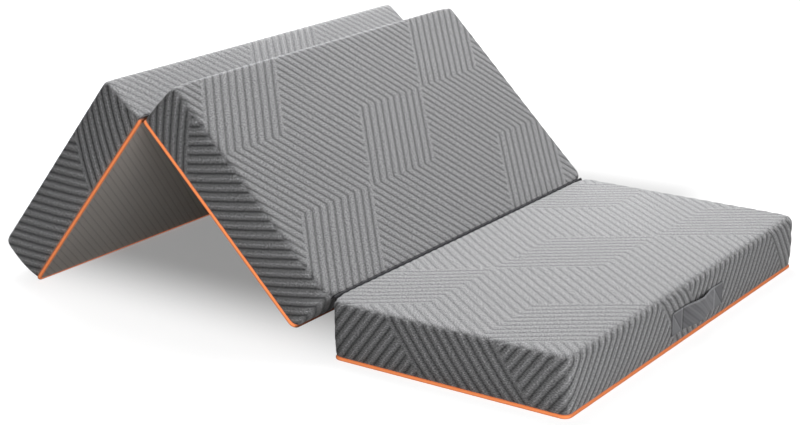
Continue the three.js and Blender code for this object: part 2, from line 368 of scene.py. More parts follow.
def makeWeave():
    # Two crossing sets of threads, in metres of cloth
    tree, given, result = newTree(
        "crossedThreads",
        "ShaderNodeTree",
        [
            ("Warp", "NodeSocketFloat", 0.0012),
            ("Weft", "NodeSocketFloat", 0.0012),
            ("Lean", "NodeSocketFloat", 0.0),
        ],
        [("Height", "NodeSocketFloat"), ("Tone", "NodeSocketFloat")],
    )
    cloth = tree.nodes.new("ShaderNodeUVMap")
    cloth.uv_map = "cloth"
    parts = tree.nodes.new("ShaderNodeSeparateXYZ")
    tree.links.new(cloth.outputs["UV"], parts.inputs[0])
    leaning = work(tree, "MULTIPLY_ADD", parts.outputs["Y"], given["Lean"], parts.outputs["X"])
    warp = work(tree, "SINE", work(tree, "MULTIPLY", work(tree, "DIVIDE", leaning, given["Warp"]), 2 * math.pi))
    upright = work(tree, "DIVIDE", parts.outputs["Y"], given["Weft"])
    weft = work(tree, "SINE", work(tree, "MULTIPLY", upright, 2 * math.pi))
    both = work(tree, "MULTIPLY_ADD", weft, 0.45, warp)
    height = work(tree, "MULTIPLY_ADD", both, 0.34, 0.5)
    tree.links.new(height, result["Height"])
    fibres = tree.nodes.new("ShaderNodeTexNoise")
    fibres.inputs["Scale"].default_value = 1400
    fibres.inputs["Detail"].default_value = 2
    tree.links.new(cloth.outputs["UV"], fibres.inputs["Vector"])
    tone = work(tree, "MULTIPLY_ADD", fibres.outputs["Fac"], 0.5, work(tree, "MULTIPLY", height, 0.5))
    tree.links.new(tone, result["Tone"])
    return tree


def newMaterial(name, roughness):
    material = bpy.data.materials.new(name)
    material.use_nodes = True
    tree = material.node_tree
    shader = tree.nodes["Principled BSDF"]
    shader.inputs["Roughness"].default_value = roughness
    shader.inputs["Specular IOR Level"].default_value = 0.25
    return material, tree, shader


def tinted(tree, dark, light, share):
    mix = tree.nodes.new("ShaderNodeMix")
    mix.data_type = "RGBA"
    feed(tree, mix.inputs[0], share)
    mix.inputs[6].default_value = (*dark, 1)
    mix.inputs[7].default_value = (*light, 1)
    return mix.outputs[2]


def toned(tree, colour, tone):
    scale = tree.nodes.new("ShaderNodeVectorMath")
    scale.operation = "SCALE"
    feed(tree, scale.inputs[0], colour)
    feed(tree, scale.inputs["Scale"], tone)
    return scale.outputs[0]


def bumped(tree, shader, height, distance, strength=1.0):
    bump = tree.nodes.new("ShaderNodeBump")
    bump.inputs["Distance"].default_value = distance
    bump.inputs["Strength"].default_value = strength
    tree.links.new(height, bump.inputs["Height"])
    tree.links.new(bump.outputs[0], shader.inputs["Normal"])


variation = makeVariation()
knit = makeKnit()
weave = makeWeave()

knitLook = {
    "dark": (0.26, 0.26, 0.27),
    "light": (0.645, 0.645, 0.655),
}


def makeCoverKnit():
    material, tree, shader = newMaterial("coverKnit", 0.92)
    strokes = useGroup(tree, knit, "ShaderNodeGroup")
    # The rib attribute is painted light: painted shade in the rib hollows, a painted highlight along the side ribs'
    # crests, and a lighter or darker painted level for each face.
    rib = tree.nodes.new("ShaderNodeAttribute")
    rib.attribute_name = "ribPaintedLight"
    colour = tinted(tree, knitLook["dark"], knitLook["light"], strokes["Tone"])
    broad = useGroup(tree, variation, "ShaderNodeGroup", Scale=5.0, Amount=0.06)
    tone = work(tree, "MULTIPLY", rib.outputs["Fac"], broad["Tone"])
    tree.links.new(toned(tree, colour, tone), shader.inputs["Base Color"])
    shader.inputs["Sheen Weight"].default_value = 0.15
    shader.inputs["Sheen Roughness"].default_value = 0.5
    bumped(tree, shader, strokes["Height"], 0.0006)
    return material


def makeWoven(name, dark, light, warp, weft, lean, depth, roughness=0.85, toneName=None):
    material, tree, shader = newMaterial(name, roughness)
    threads = useGroup(tree, weave, "ShaderNodeGroup", Warp=warp, Weft=weft, Lean=lean)
    broad = useGroup(tree, variation, "ShaderNodeGroup", Scale=9.0, Amount=0.1)
    colour = tinted(tree, dark, light, threads["Tone"])
    tone = broad["Tone"]
    if toneName:
        own = tree.nodes.new("ShaderNodeAttribute")
        own.attribute_name = toneName
        tone = work(tree, "MULTIPLY", tone, own.outputs["Fac"])
    tree.links.new(toned(tree, colour, tone), shader.inputs["Base Color"])
    shader.inputs["Sheen Weight"].default_value = 0.1
    bumped(tree, shader, threads["Height"], depth)
    return material


def makePipingCloth():
    # Painted glow: the piping gives off its own colour though it is no lamp, most where it faces the camera, as a
    # painted highlight down its middle; on the runs in the folds and at the foot the glow is off and the colour is
    # darkened as painted shade.
    material, tree, shader = newMaterial("pipingCloth", 0.7)
    threads = useGroup(tree, weave, "ShaderNodeGroup", Warp=0.0016, Weft=0.0011, Lean=1.0)
    broad = useGroup(tree, variation, "ShaderNodeGroup", Scale=9.0, Amount=0.1)
    colour = tinted(tree, (0.86, 0.19, 0.055), (1.0, 0.36, 0.14), threads["Tone"])
    colour = toned(tree, colour, broad["Tone"])
    own = tree.nodes.new("ShaderNodeAttribute")
    own.attribute_name = "paintedGlowShade"
    # Painted shade: the colour is darkened on the runs in the folds and at the foot.
    colour = toned(tree, colour, work(tree, "MULTIPLY_ADD", own.outputs["Fac"], 0.65, 0.4))
    tree.links.new(colour, shader.inputs["Base Color"])
    tree.links.new(colour, shader.inputs["Emission Color"])
    facing = tree.nodes.new("ShaderNodeLayerWeight")
    # Painted highlight: the glow is strongest where the cord faces the camera.
    paintedHighlight = work(tree, "POWER", work(tree, "SUBTRACT", 1.0, facing.outputs["Facing"]), 1.3)
    glow = work(tree, "MULTIPLY", paintedHighlight, own.outputs["Fac"])
    tree.links.new(glow, shader.inputs["Emission Strength"])
    shader.inputs["Sheen Weight"].default_value = 0.1
    bumped(tree, shader, threads["Height"], 0.0002)
    return material


def makeDottedCloth():
    # A woven cloth with rows of small grip dots
    material, tree, shader = newMaterial("dottedCloth", 0.9)
    threads = useGroup(tree, weave, "ShaderNodeGroup", Warp=0.0016, Weft=0.0016, Lean=0.0)
    cloth = tree.nodes.new("ShaderNodeUVMap")
    cloth.uv_map = "cloth"
    rowPitch, dotPitch, rowLean = 0.0165, 0.0058, math.radians(44)
    lean = tree.nodes.new("ShaderNodeVectorRotate")
    lean.rotation_type = "Z_AXIS"
    lean.inputs["Angle"].default_value = -rowLean
    tree.links.new(cloth.outputs["UV"], lean.inputs["Vector"])
    parts = tree.nodes.new("ShaderNodeSeparateXYZ")
    tree.links.new(lean.outputs[0], parts.inputs[0])
    rows = work(tree, "COSINE", work(tree, "MULTIPLY", parts.outputs["X"], math.pi * 2 / rowPitch))
    along = work(tree, "COSINE", work(tree, "MULTIPLY", parts.outputs["Y"], math.pi * 2 / dotPitch))
    dots = smoothBetween(tree, work(tree, "MULTIPLY_ADD", along, 0.45, rows), 0.85, 1.4)
    # Painted light: the cloth's colours are painted paler than the cloth, to stand in for light in the shade under
    # the raised panels.
    clothColour = tinted(tree, (0.74, 0.705, 0.66), (0.92, 0.88, 0.83), threads["Tone"])
    mix = tree.nodes.new("ShaderNodeMix")
    mix.data_type = "RGBA"
    tree.links.new(dots, mix.inputs[0])
    tree.links.new(clothColour, mix.inputs[6])
    mix.inputs[7].default_value = (0.48, 0.455, 0.42, 1)
    broad = useGroup(tree, variation, "ShaderNodeGroup", Scale=4.0, Amount=0.1)
    tree.links.new(toned(tree, mix.outputs[2], broad["Tone"]), shader.inputs["Base Color"])
    height = work(tree, "MULTIPLY_ADD", dots, 2.0, threads["Height"])
    bumped(tree, shader, height, 0.0003)
    return material


def makeFoam(name, dark, light):
    material, tree, shader = newMaterial(name, 0.95)
    coordinate = tree.nodes.new("ShaderNodeTexCoord")
    cells = tree.nodes.new("ShaderNodeTexVoronoi")
    cells.inputs["Scale"].default_value = 700
    tree.links.new(coordinate.outputs["Object"], cells.inputs["Vector"])
    broad = useGroup(tree, variation, "ShaderNodeGroup", Scale=14.0, Amount=0.12)
    colour = tinted(tree, dark, light, cells.outputs["Distance"])
    tree.links.new(toned(tree, colour, broad["Tone"]), shader.inputs["Base Color"])
    bumped(tree, shader, cells.outputs["Distance"], 0.0005)
    return material


def makeMetal():
    material, tree, shader = newMaterial("zipPaint", 0.45)
    coordinate = tree.nodes.new("ShaderNodeTexCoord")
    scuffs = tree.nodes.new("ShaderNodeTexNoise")
    scuffs.inputs["Scale"].default_value = 900
    scuffs.inputs["Detail"].default_value = 4
    tree.links.new(coordinate.outputs["Object"], scuffs.inputs["Vector"])
    worn = smoothBetween(tree, scuffs.outputs["Fac"], 0.55, 0.75)
    broad = useGroup(tree, variation, "ShaderNodeGroup", Scale=60.0, Amount=0.2)
    colour = tinted(tree, (0.09, 0.09, 0.095), (0.3, 0.3, 0.31), worn)
    tree.links.new(toned(tree, colour, broad["Tone"]), shader.inputs["Base Color"])
    tree.links.new(smoothBetween(tree, scuffs.outputs["Fac"], 0.3, 0.7, 0.32, 0.55), shader.inputs["Roughness"])
    shader.inputs["Metallic"].default_value = 0.8
    bumped(tree, shader, scuffs.outputs["Fac"], 0.00005)
    return material


def makeThread():
    material, tree, shader = newMaterial("sewingThread", 0.8)
    fine = useGroup(tree, variation, "ShaderNodeGroup", Scale=900.0, Amount=0.8)
    tree.links.new(toned(tree, (0.16, 0.16, 0.17), fine["Tone"]), shader.inputs["Base Color"])
    bumped(tree, shader, fine["Tone"], 0.00008)
    return material


def makeNylon():
    material, tree, shader = newMaterial("zipNylon", 0.5)
    broad = useGroup(tree, variation, "ShaderNodeGroup", Scale=300.0, Amount=0.3)
    tree.links.new(toned(tree, (0.05, 0.05, 0.055), broad["Tone"]), shader.inputs["Base Color"])
    return material


coverKnit = makeCoverKnit()
pipingCloth = makePipingCloth()
dottedCloth = makeDottedCloth()
strapWeave = makeWoven(
    "strapWeave", (0.20, 0.20, 0.21), (0.32, 0.32, 0.335), 0.0011, 0.0009, 0.0, 0.00012, 0.8, "strapPaintedLight",
)
# Painted shade: the fold strips are a dark cloth coloured near black, to stand in for the shade in the fold gaps.
foldShadeWeave = makeWoven("foldShadeWeave", (0.03, 0.03, 0.034), (0.075, 0.075, 0.08), 0.0012, 0.0012, 0.0, 0.00015)
tapeWeave = makeWoven("tapeWeave", (0.045, 0.045, 0.05), (0.11, 0.11, 0.12), 0.0009, 0.0013, 1.0, 0.00012)
threadLook = makeThread()
memoryFoam = makeFoam("memoryFoam", (0.72, 0.71, 0.66), (0.88, 0.87, 0.82))
supportFoam = makeFoam("supportFoam", (0.62, 0.56, 0.42), (0.8, 0.74, 0.6))
zipPaint = makeMetal()
zipNylon = makeNylon()
print("materials made")


# Covers: a grid over the top whose border runs on down the sides as rings

cover = {
    "columns": 100,  # of the grid, across the mattress
    "rows": 48,
    "edgeSteps": 4,
    "sideSteps": 3,
    "tuckSteps": 5,
    "shrink": 0.0016,  # taken off before the pressure swells it again
    "pressure": 0.4,
    "frames": 20,
    "farthest": 0.0018,
    "rests": (0.03, 0.05),  # from this far in to this far in from its edge, the top comes to rest on the foam
    "lipInset": 0.012,
    "wall": 0.005,
}


def outlinePoint(place, ring, peakEnd):
    inset, tuck = ring[0], ring[1]
    atPeak = place[0] * peakEnd > 0
    endTuck = 0 if atPeak else tuck
    full = panel["foldCornerRadius"] if atPeak else panel["cornerRadius"]
    radius = max(full - inset - tuck, panel["leastRadius"])
    reach = halfLength - inset - endTuck
    spread = halfWidth - inset - tuck
    x, y = place[0] * reach, place[1] * spread
    fromEnd, fromSide = reach - abs(x), spread - abs(y)
    if max(fromEnd, fromSide) < radius:
        if fromEnd <= fromSide:
            angle = math.pi / 4 * (1 - fromSide / radius)
        else:
            angle = math.pi / 2 - math.pi / 4 * (1 - fromEnd / radius)
        x = math.copysign(reach - radius + radius * math.cos(angle), x)
        y = math.copysign(spread - radius + radius * math.sin(angle), y)
    return x, y, ring[2]


def tuckAt(height):
    rise = (height - panel["seamHeight"]) / (panel["tuckHeight"] - panel["seamHeight"])
    return panel["seamTuck"] * (1 - min(max(rise, 0), 1)) ** 2


def coverRings(shrink):
    # Each ring is (inset, tuck, height), from the edge of the flat top down to the turned-in lip.
    rings = []
    radius = panel["edgeRadius"]
    arcHeight = panel["edgeTop"] - radius
    for step in range(1, cover["edgeSteps"] + 1):
        angle = math.pi / 2 * step / cover["edgeSteps"]
        reach = radius - shrink
        rings.append((radius - reach * math.sin(angle), 0, arcHeight + reach * math.cos(angle)))
    for step in range(1, cover["sideSteps"] + 1):
        height = arcHeight + (panel["tuckHeight"] - arcHeight) * step / cover["sideSteps"]
        rings.append((shrink, 0, height))
    for step in range(1, cover["tuckSteps"] + 1):
        height = panel["tuckHeight"] + (panel["seamHeight"] - panel["tuckHeight"]) * step / cover["tuckSteps"]
        rings.append((shrink * (1 - step / cover["tuckSteps"]), tuckAt(height), height))
    lip = panel["seamHeight"]
    rings.append((cover["lipInset"] / 2, panel["seamTuck"] / 2, lip - 0.0006))
    rings.append((cover["lipInset"], panel["seamTuck"] / 2, lip - 0.0002))
    return rings


def turnEdge(points, end, radius):
    # Redraws the top edge at one end over another radius. A tight edge runs out towards the corners.
    full = panel["edgeRadius"]
    fromEnd = halfLength - points[:, 0] * end
    drop = panel["edgeTop"] - points[:, 2]
    share = smoothStep(0.0, 0.07, halfWidth - np.abs(points[:, 1])) if radius < full else 1

    def drawn(value):
        inArc = value * radius / full
        beyond = radius + (value - full) * (3 * full - radius) / (2 * full)
        return np.where(value <= full, inArc, np.where(value < 3 * full, beyond, value))

    near = (fromEnd < 3 * full) & (drop < 3 * full)
    newEnd = np.where(near & (fromEnd > 0), drawn(fromEnd), fromEnd)
    newDrop = np.where(near & (drop > 0), drawn(drop), drop)
    points[:, 0] = end * (halfLength - (fromEnd + (newEnd - fromEnd) * share))
    points[:, 2] = panel["edgeTop"] - (drop + (newDrop - drop) * share)


def coverCage(plan, shrink):
    peakEnd = plan["peakEnd"]
    rows, columns = cover["rows"], cover["columns"]
    rings = coverRings(shrink)
    topRing = (panel["edgeRadius"], 0, panel["edgeTop"] - shrink)
    points = []
    for i in range(rows + 1):
        for j in range(columns + 1):
            u, v = 2 * i / rows - 1, 2 * j / columns - 1
            x, y, z = outlinePoint((u, v), topRing, peakEnd)
            points.append((x, y, z + panel["crown"] * (1 - u * u) * (1 - v * v)))
    border = [(rows, j) for j in range(columns)]
    border += [(i, columns) for i in range(rows, 0, -1)]
    border += [(0, j) for j in range(columns, 0, -1)]
    border += [(i, 0) for i in range(rows)]
    loops = [[i * (columns + 1) + j for i, j in border]]
    for ring in rings:
        start = len(points)
        points += [outlinePoint((2 * i / rows - 1, 2 * j / columns - 1), ring, peakEnd) for i, j in border]
        loops.append(list(range(start, len(points))))
    faces = []
    for i in range(rows):
        for j in range(columns):
            corner = i * (columns + 1) + j
            faces.append((corner, corner + columns + 1, corner + columns + 2, corner + 1))
    count = len(border)
    for upper, lower in zip(loops, loops[1:]):
        for s in range(count):
            t = (s + 1) % count
            faces.append((lower[s], lower[t], upper[t], upper[s]))
    points = np.array(points)
    for end, radius in plan["edges"].items():
        turnEdge(points, end, radius)
    return points, faces, loops


def swell(piece, loops):
    # Pressure puffs the sides out, while the seam at the piping and the top on its foam are held.
    held = piece.vertex_groups.new(name="seam")
    held.add([index for loop in loops[-4:] for index in loop], 1.0, "REPLACE")
    places = np.abs(placesOf(piece.data)[:loops[1][0]])
    fromEdge = np.minimum(halfLength - places[:, 0], halfWidth - places[:, 1])
    for index, share in enumerate(smoothStep(*cover["rests"], fromEdge)):
        held.add([index], float(share), "REPLACE")
    cloth = piece.modifiers.new("cloth", "CLOTH")
    settings = cloth.settings
    settings.vertex_group_mass = "seam"
    settings.use_pressure = True
    settings.uniform_pressure_force = cover["pressure"]
    settings.tension_stiffness = 25
    settings.compression_stiffness = 25
    settings.bending_stiffness = 4
    settings.effector_weights.gravity = 0
    settings.quality = 4
    cloth.collision_settings.use_collision = False
    cloth.point_cache.frame_end = cover["frames"]
    scene = bpy.context.scene
    for number in range(1, cover["frames"] + 1):
        scene.frame_set(number)
    depsgraph = bpy.context.evaluated_depsgraph_get()
    swollen = placesOf(piece.evaluated_get(depsgraph).data)
    piece.modifiers.remove(cloth)
    scene.frame_set(1)
    return swollen


def subdivided(name, points, faces):
    piece = newPiece(name, points, faces)
    smooth = piece.modifiers.new("smooth", "SUBSURF")
    smooth.levels = 2
    smooth.render_levels = 2
    return settle(piece)


# Ribs: a slash band over a ground of the other slant, in rows. A face's own lattice is (lean, corner across,
# corner down, ribs in a band, ribs in a repeat, stretch), where lean is 1 for slash bands and -1 for the
# mirrored cloth, and stretch is how far the cloth is pulled across that face.
ribs = {
    "pitch": 0.0285,
    "run": 0.15675,  # of a rib across, in one row
    "row": 0.2093,
    "depth": {"base": 0.0016, "middle": 0.0011, "end": 0.0004},
    "groove": 0.13,
    "grooveShare": 0.22,
    "ridge": 0.12,
    "topPaintedShade": {"base": 0.42, "middle": 0.62, "end": 0.27},  # painted shade: the share of the colour taken off at the bottom of a top's groove
    # painted shade in the hollows of the sides' ribs
    "sidePaintedShade": {"base": 0.68, "middle": 0.76, "end": 0.76},
    # painted light: the level of each panel's sides, lighter or darker for how light falls on them
    "sidePaintedLight": {"base": 0.96, "middle": 1.22, "end": 1.2},
    "endPaintedLight": {"base": 1.05, "middle": 1.0, "end": 0.92},  # the same painted light level on the end faces
    "endShadeShare": {"base": 1.0, "middle": 0.8, "end": 0.45},  # the share of the sides' painted shade that an end face keeps
    "sideHighlight": 0.6,  # painted highlight added along the crest of a side's ribs
}
lattices = {
    "base": {
        "top": (-1, 0.571, 0.407, 10, 31, 1.005),
        "near": (-1, 0.321, 0.213, 10, 31, 1.003),
        "far": (1, 0.200, -0.005, 10, 31, 1),
        "high": (-1, 0.573, 0.189, 5, 22.3, 0.988),
        "low": (1, 0.300, -0.005, 10, 31, 1),
    },
    "middle": {
        "top": (1, 0.562, 0.211, 10, 31, 0.998),
        "near": (-1, -0.048, 0.197, 10, 31, 0.995),
        "far": (1, 0.300, -0.005, 10, 31, 1),
        "high": (1, 0.420, -0.005, 10, 31, 1),
        "low": (-1, 0.500, 0.205, 10, 31, 1),
    },
    "end": {
        "top": (1, 0.300, 0.120, 10, 31, 1),
        "near": (1, 0.480, -0.011, 10, 31, 1.012),
        "far": (-1, 0.260, 0.205, 10, 31, 1),
        "high": (1, 0.585, -0.014, 10, 31, 1),
        "low": (-1, 0.350, 0.205, 10, 31, 1),
    },
}
zipRecess = {"halfLength": 0.2705, "height": 0.03, "halfWidth": 0.0073, "depth": 0.0042}


def clothPlaces(rest, name):
    # Where each point lies on its own face of cloth, measured from that face's lattice corner
    x, y, z = rest[:, 0], rest[:, 1], rest[:, 2]
    fromEnd, fromSide = halfLength - np.abs(x), halfWidth - np.abs(y)
    onEnd = fromEnd < fromSide
    faceAcross = {
        "near": x + halfLength,
        "far": halfLength - x,
        "high": y + halfWidth,
        "low": halfWidth - y,
    }
    isFace = {
        "near": ~onEnd & (y < 0),
        "far": ~onEnd & (y >= 0),
        "high": onEnd & (x >= 0),
        "low": onEnd & (x < 0),
    }
    depth = panel["thickness"] - z
    across, down = np.zeros(len(x)), np.zeros(len(x))
    band, repeat = np.zeros(len(x)), np.zeros(len(x))
    for face, chosen in isFace.items():
        lean, cornerAcross, cornerDown, bandRibs, repeatRibs, stretch = lattices[name][face]
        across[chosen] = (faceAcross[face] - cornerAcross)[chosen] / stretch
        down[chosen] = (lean * (depth - cornerDown))[chosen]
        band[chosen] = bandRibs
        repeat[chosen] = repeatRibs
    if name == "base":
        # The ribs of both seen sides meet at their common corner, and run on round it.
        across[isFace["near"]] -= (0.0045 * smoothStep(0.06, 0.0, halfLength - x))[isFace["near"]]
        band[isFace["high"] & (y < 0.08 - halfWidth)] = 0
    lean, cornerAcross, cornerDown, bandRibs, repeatRibs, stretch = lattices[name]["top"]
    values = {
        "topAcross": (y + halfWidth - cornerAcross) / stretch,
        "topDown": lean * (x + halfLength - cornerDown) / stretch,
        "topBand": np.full(len(x), bandRibs),
        "topRepeat": np.full(len(x), repeatRibs),
        "sideAcross": across,
        "sideDown": down,
        "sideBand": band,
        "sideRepeat": repeat,
        "sideShare": 1 - smoothStep(0.1395, 0.1435, z),
    }
    lipFade = smoothStep(0.0092, 0.0125, z)
    zipFade = 1 - zipShare(rest, 0.004)
    values["ribStrength"] = lipFade * zipFade
    # Painted light: the sides and end faces of each panel get their own lighter or darker level, and end faces keep
    # only a share of the sides' painted shade.
    endShare = smoothStep(-0.006, 0.006, fromSide - fromEnd)
    values["facePaintedLight"] = ribs["sidePaintedLight"][name] + (ribs["endPaintedLight"][name] - ribs["sidePaintedLight"][name]) * endShare
    values["faceShadeShare"] = 1 + (ribs["endShadeShare"][name] - 1) * endShare
    mapped = np.stack([across, down], 1)
    topMapped = np.stack([values["topAcross"], values["topDown"]], 1)
    return values, np.where((values["sideShare"] > 0.5)[:, None], mapped, topMapped)


def zipShare(rest, soft):
    along = 1 - smoothStep(zipRecess["halfLength"], zipRecess["halfLength"] + soft, np.abs(rest[:, 0]))
    spread = zipRecess["halfWidth"]
    up = 1 - smoothStep(spread, spread + soft, np.abs(rest[:, 2] - zipRecess["height"]))
    return along * up * (rest[:, 1] > halfWidth - 0.012)


meeting = {"out": 0.0012, "rise": 0.0013, "bows": {"middle": 0.0026, "end": 0.007}}


def foldMeeting(rest, name):
    # Where the two panels press together at the top fold, their edges stand a little proud.
    moves = np.zeros_like(rest)
    x, z = rest[:, 0], rest[:, 2]
    if name == "base":
        moves[:, 0] = -meeting["out"] * smoothStep(-0.300, -0.314, x) * smoothStep(0.11, 0.135, z)
        moves[:, 2] = meeting["rise"] * smoothStep(-0.255, -0.305, x) * smoothStep(0.13, 0.142, z)
    if name == "middle":
        moves[:, 0] = meeting["out"] * smoothStep(0.300, 0.314, x) * smoothStep(0.11, 0.135, z)
    if name in meeting["bows"]:
        # The soft end stands out in one round bow, at the peak only as far as the fold leaves room.
        rise = np.clip((z - panel["seamHeight"]) / (panel["edgeTop"] - panel["seamHeight"]), 0, 1)
        moves[:, 0] -= meeting["bows"][name] * np.sin(np.pi * rise) * smoothStep(0.030, 0.0, halfLength + x)
    return moves


def makeRibGroup():
    tree, given, result = newTree(
        "ribGroove",
        "GeometryNodeTree",
        [
            ("Across", "NodeSocketFloat", 0.0),
            ("Down", "NodeSocketFloat", 0.0),
            ("Band", "NodeSocketFloat", 10.0),
            ("Repeat", "NodeSocketFloat", 31.0),
            ("Pitch", "NodeSocketFloat", 0.0285),
            ("Run", "NodeSocketFloat", 0.157),
            ("Row", "NodeSocketFloat", 0.21),
            ("Groove", "NodeSocketFloat", 0.13),
            ("Groove Share", "NodeSocketFloat", 0.22),
            ("Ridge", "NodeSocketFloat", 0.12),
        ],
        [("Depth", "NodeSocketFloat"), ("Hollow", "NodeSocketFloat"), ("Line", "NodeSocketFloat")],
    )
    row = work(tree, "FLOOR", work(tree, "DIVIDE", given["Down"], given["Row"]))
    slant = work(tree, "MULTIPLY", work(tree, "DIVIDE", given["Down"], given["Row"]), given["Run"])
    slash = work(tree, "DIVIDE", work(tree, "ADD", given["Across"], slant), given["Pitch"])
    back = work(tree, "DIVIDE", work(tree, "SUBTRACT", given["Across"], slant), given["Pitch"])
    shifted = work(tree, "ADD", work(tree, "MULTIPLY_ADD", row, given["Band"], slash), 0.5)
    place = work(tree, "SUBTRACT", work(tree, "FLOORED_MODULO", shifted, given["Repeat"]), 0.5)
    bandEnd = work(tree, "SUBTRACT", given["Band"], 0.5)
    repeatEnd = work(tree, "SUBTRACT", given["Repeat"], 0.5)
    inBand = work(
        tree, "MULTIPLY",
        smoothBetween(tree, place, -0.5, -0.38),
        smoothBetween(tree, place, work(tree, "SUBTRACT", bandEnd, 0.06), work(tree, "ADD", bandEnd, 0.06), 1, 0),
    )
    inGround = work(
        tree, "MULTIPLY",
        smoothBetween(tree, place, work(tree, "ADD", bandEnd, 0.02), work(tree, "ADD", bandEnd, 0.14)),
        smoothBetween(tree, place, work(tree, "SUBTRACT", repeatEnd, 0.12), repeatEnd, 1, 0),
    )

    def grooveOf(phase):
        offCentre = work(tree, "SUBTRACT", work(tree, "FRACT", work(tree, "ADD", phase, 0.5)), 0.5)
        away = work(tree, "ABSOLUTE", offCentre)
        wave = work(tree, "MULTIPLY_ADD", work(tree, "COSINE", work(tree, "MULTIPLY", away, 2 * math.pi)), 0.5, 0.5)
        narrow = smoothBetween(tree, away, 0.0, given["Groove"], 1, 0)
        faint = smoothBetween(tree, away, 0.40, 0.5)
        waveShare = work(tree, "SUBTRACT", 1.0, given["Groove Share"])
        grooved = work(tree, "MULTIPLY_ADD", narrow, given["Groove Share"], work(tree, "MULTIPLY", wave, waveShare))
        return work(tree, "MULTIPLY_ADD", faint, given["Ridge"], grooved)

    def nearTo(centre, width):
        def shapeOf(phase):
            offCentre = work(tree, "SUBTRACT", work(tree, "FRACT", work(tree, "ADD", phase, 0.5 - centre)), 0.5)
            return smoothBetween(tree, work(tree, "ABSOLUTE", offCentre), 0.0, width, 1, 0)

        return shapeOf

    for label, shapeOf in (("Depth", grooveOf), ("Hollow", nearTo(0.0, 0.24)), ("Line", nearTo(0.54, 0.13))):
        both = work(
            tree, "ADD",
            work(tree, "MULTIPLY", inBand, shapeOf(slash)),
            work(tree, "MULTIPLY", inGround, shapeOf(back)),
        )
        tree.links.new(both, result[label])
    return tree


def named(tree, name):
    node = tree.nodes.new("GeometryNodeInputNamedAttribute")
    node.data_type = "FLOAT"
    node.inputs["Name"].default_value = name
    return node.outputs["Attribute"]


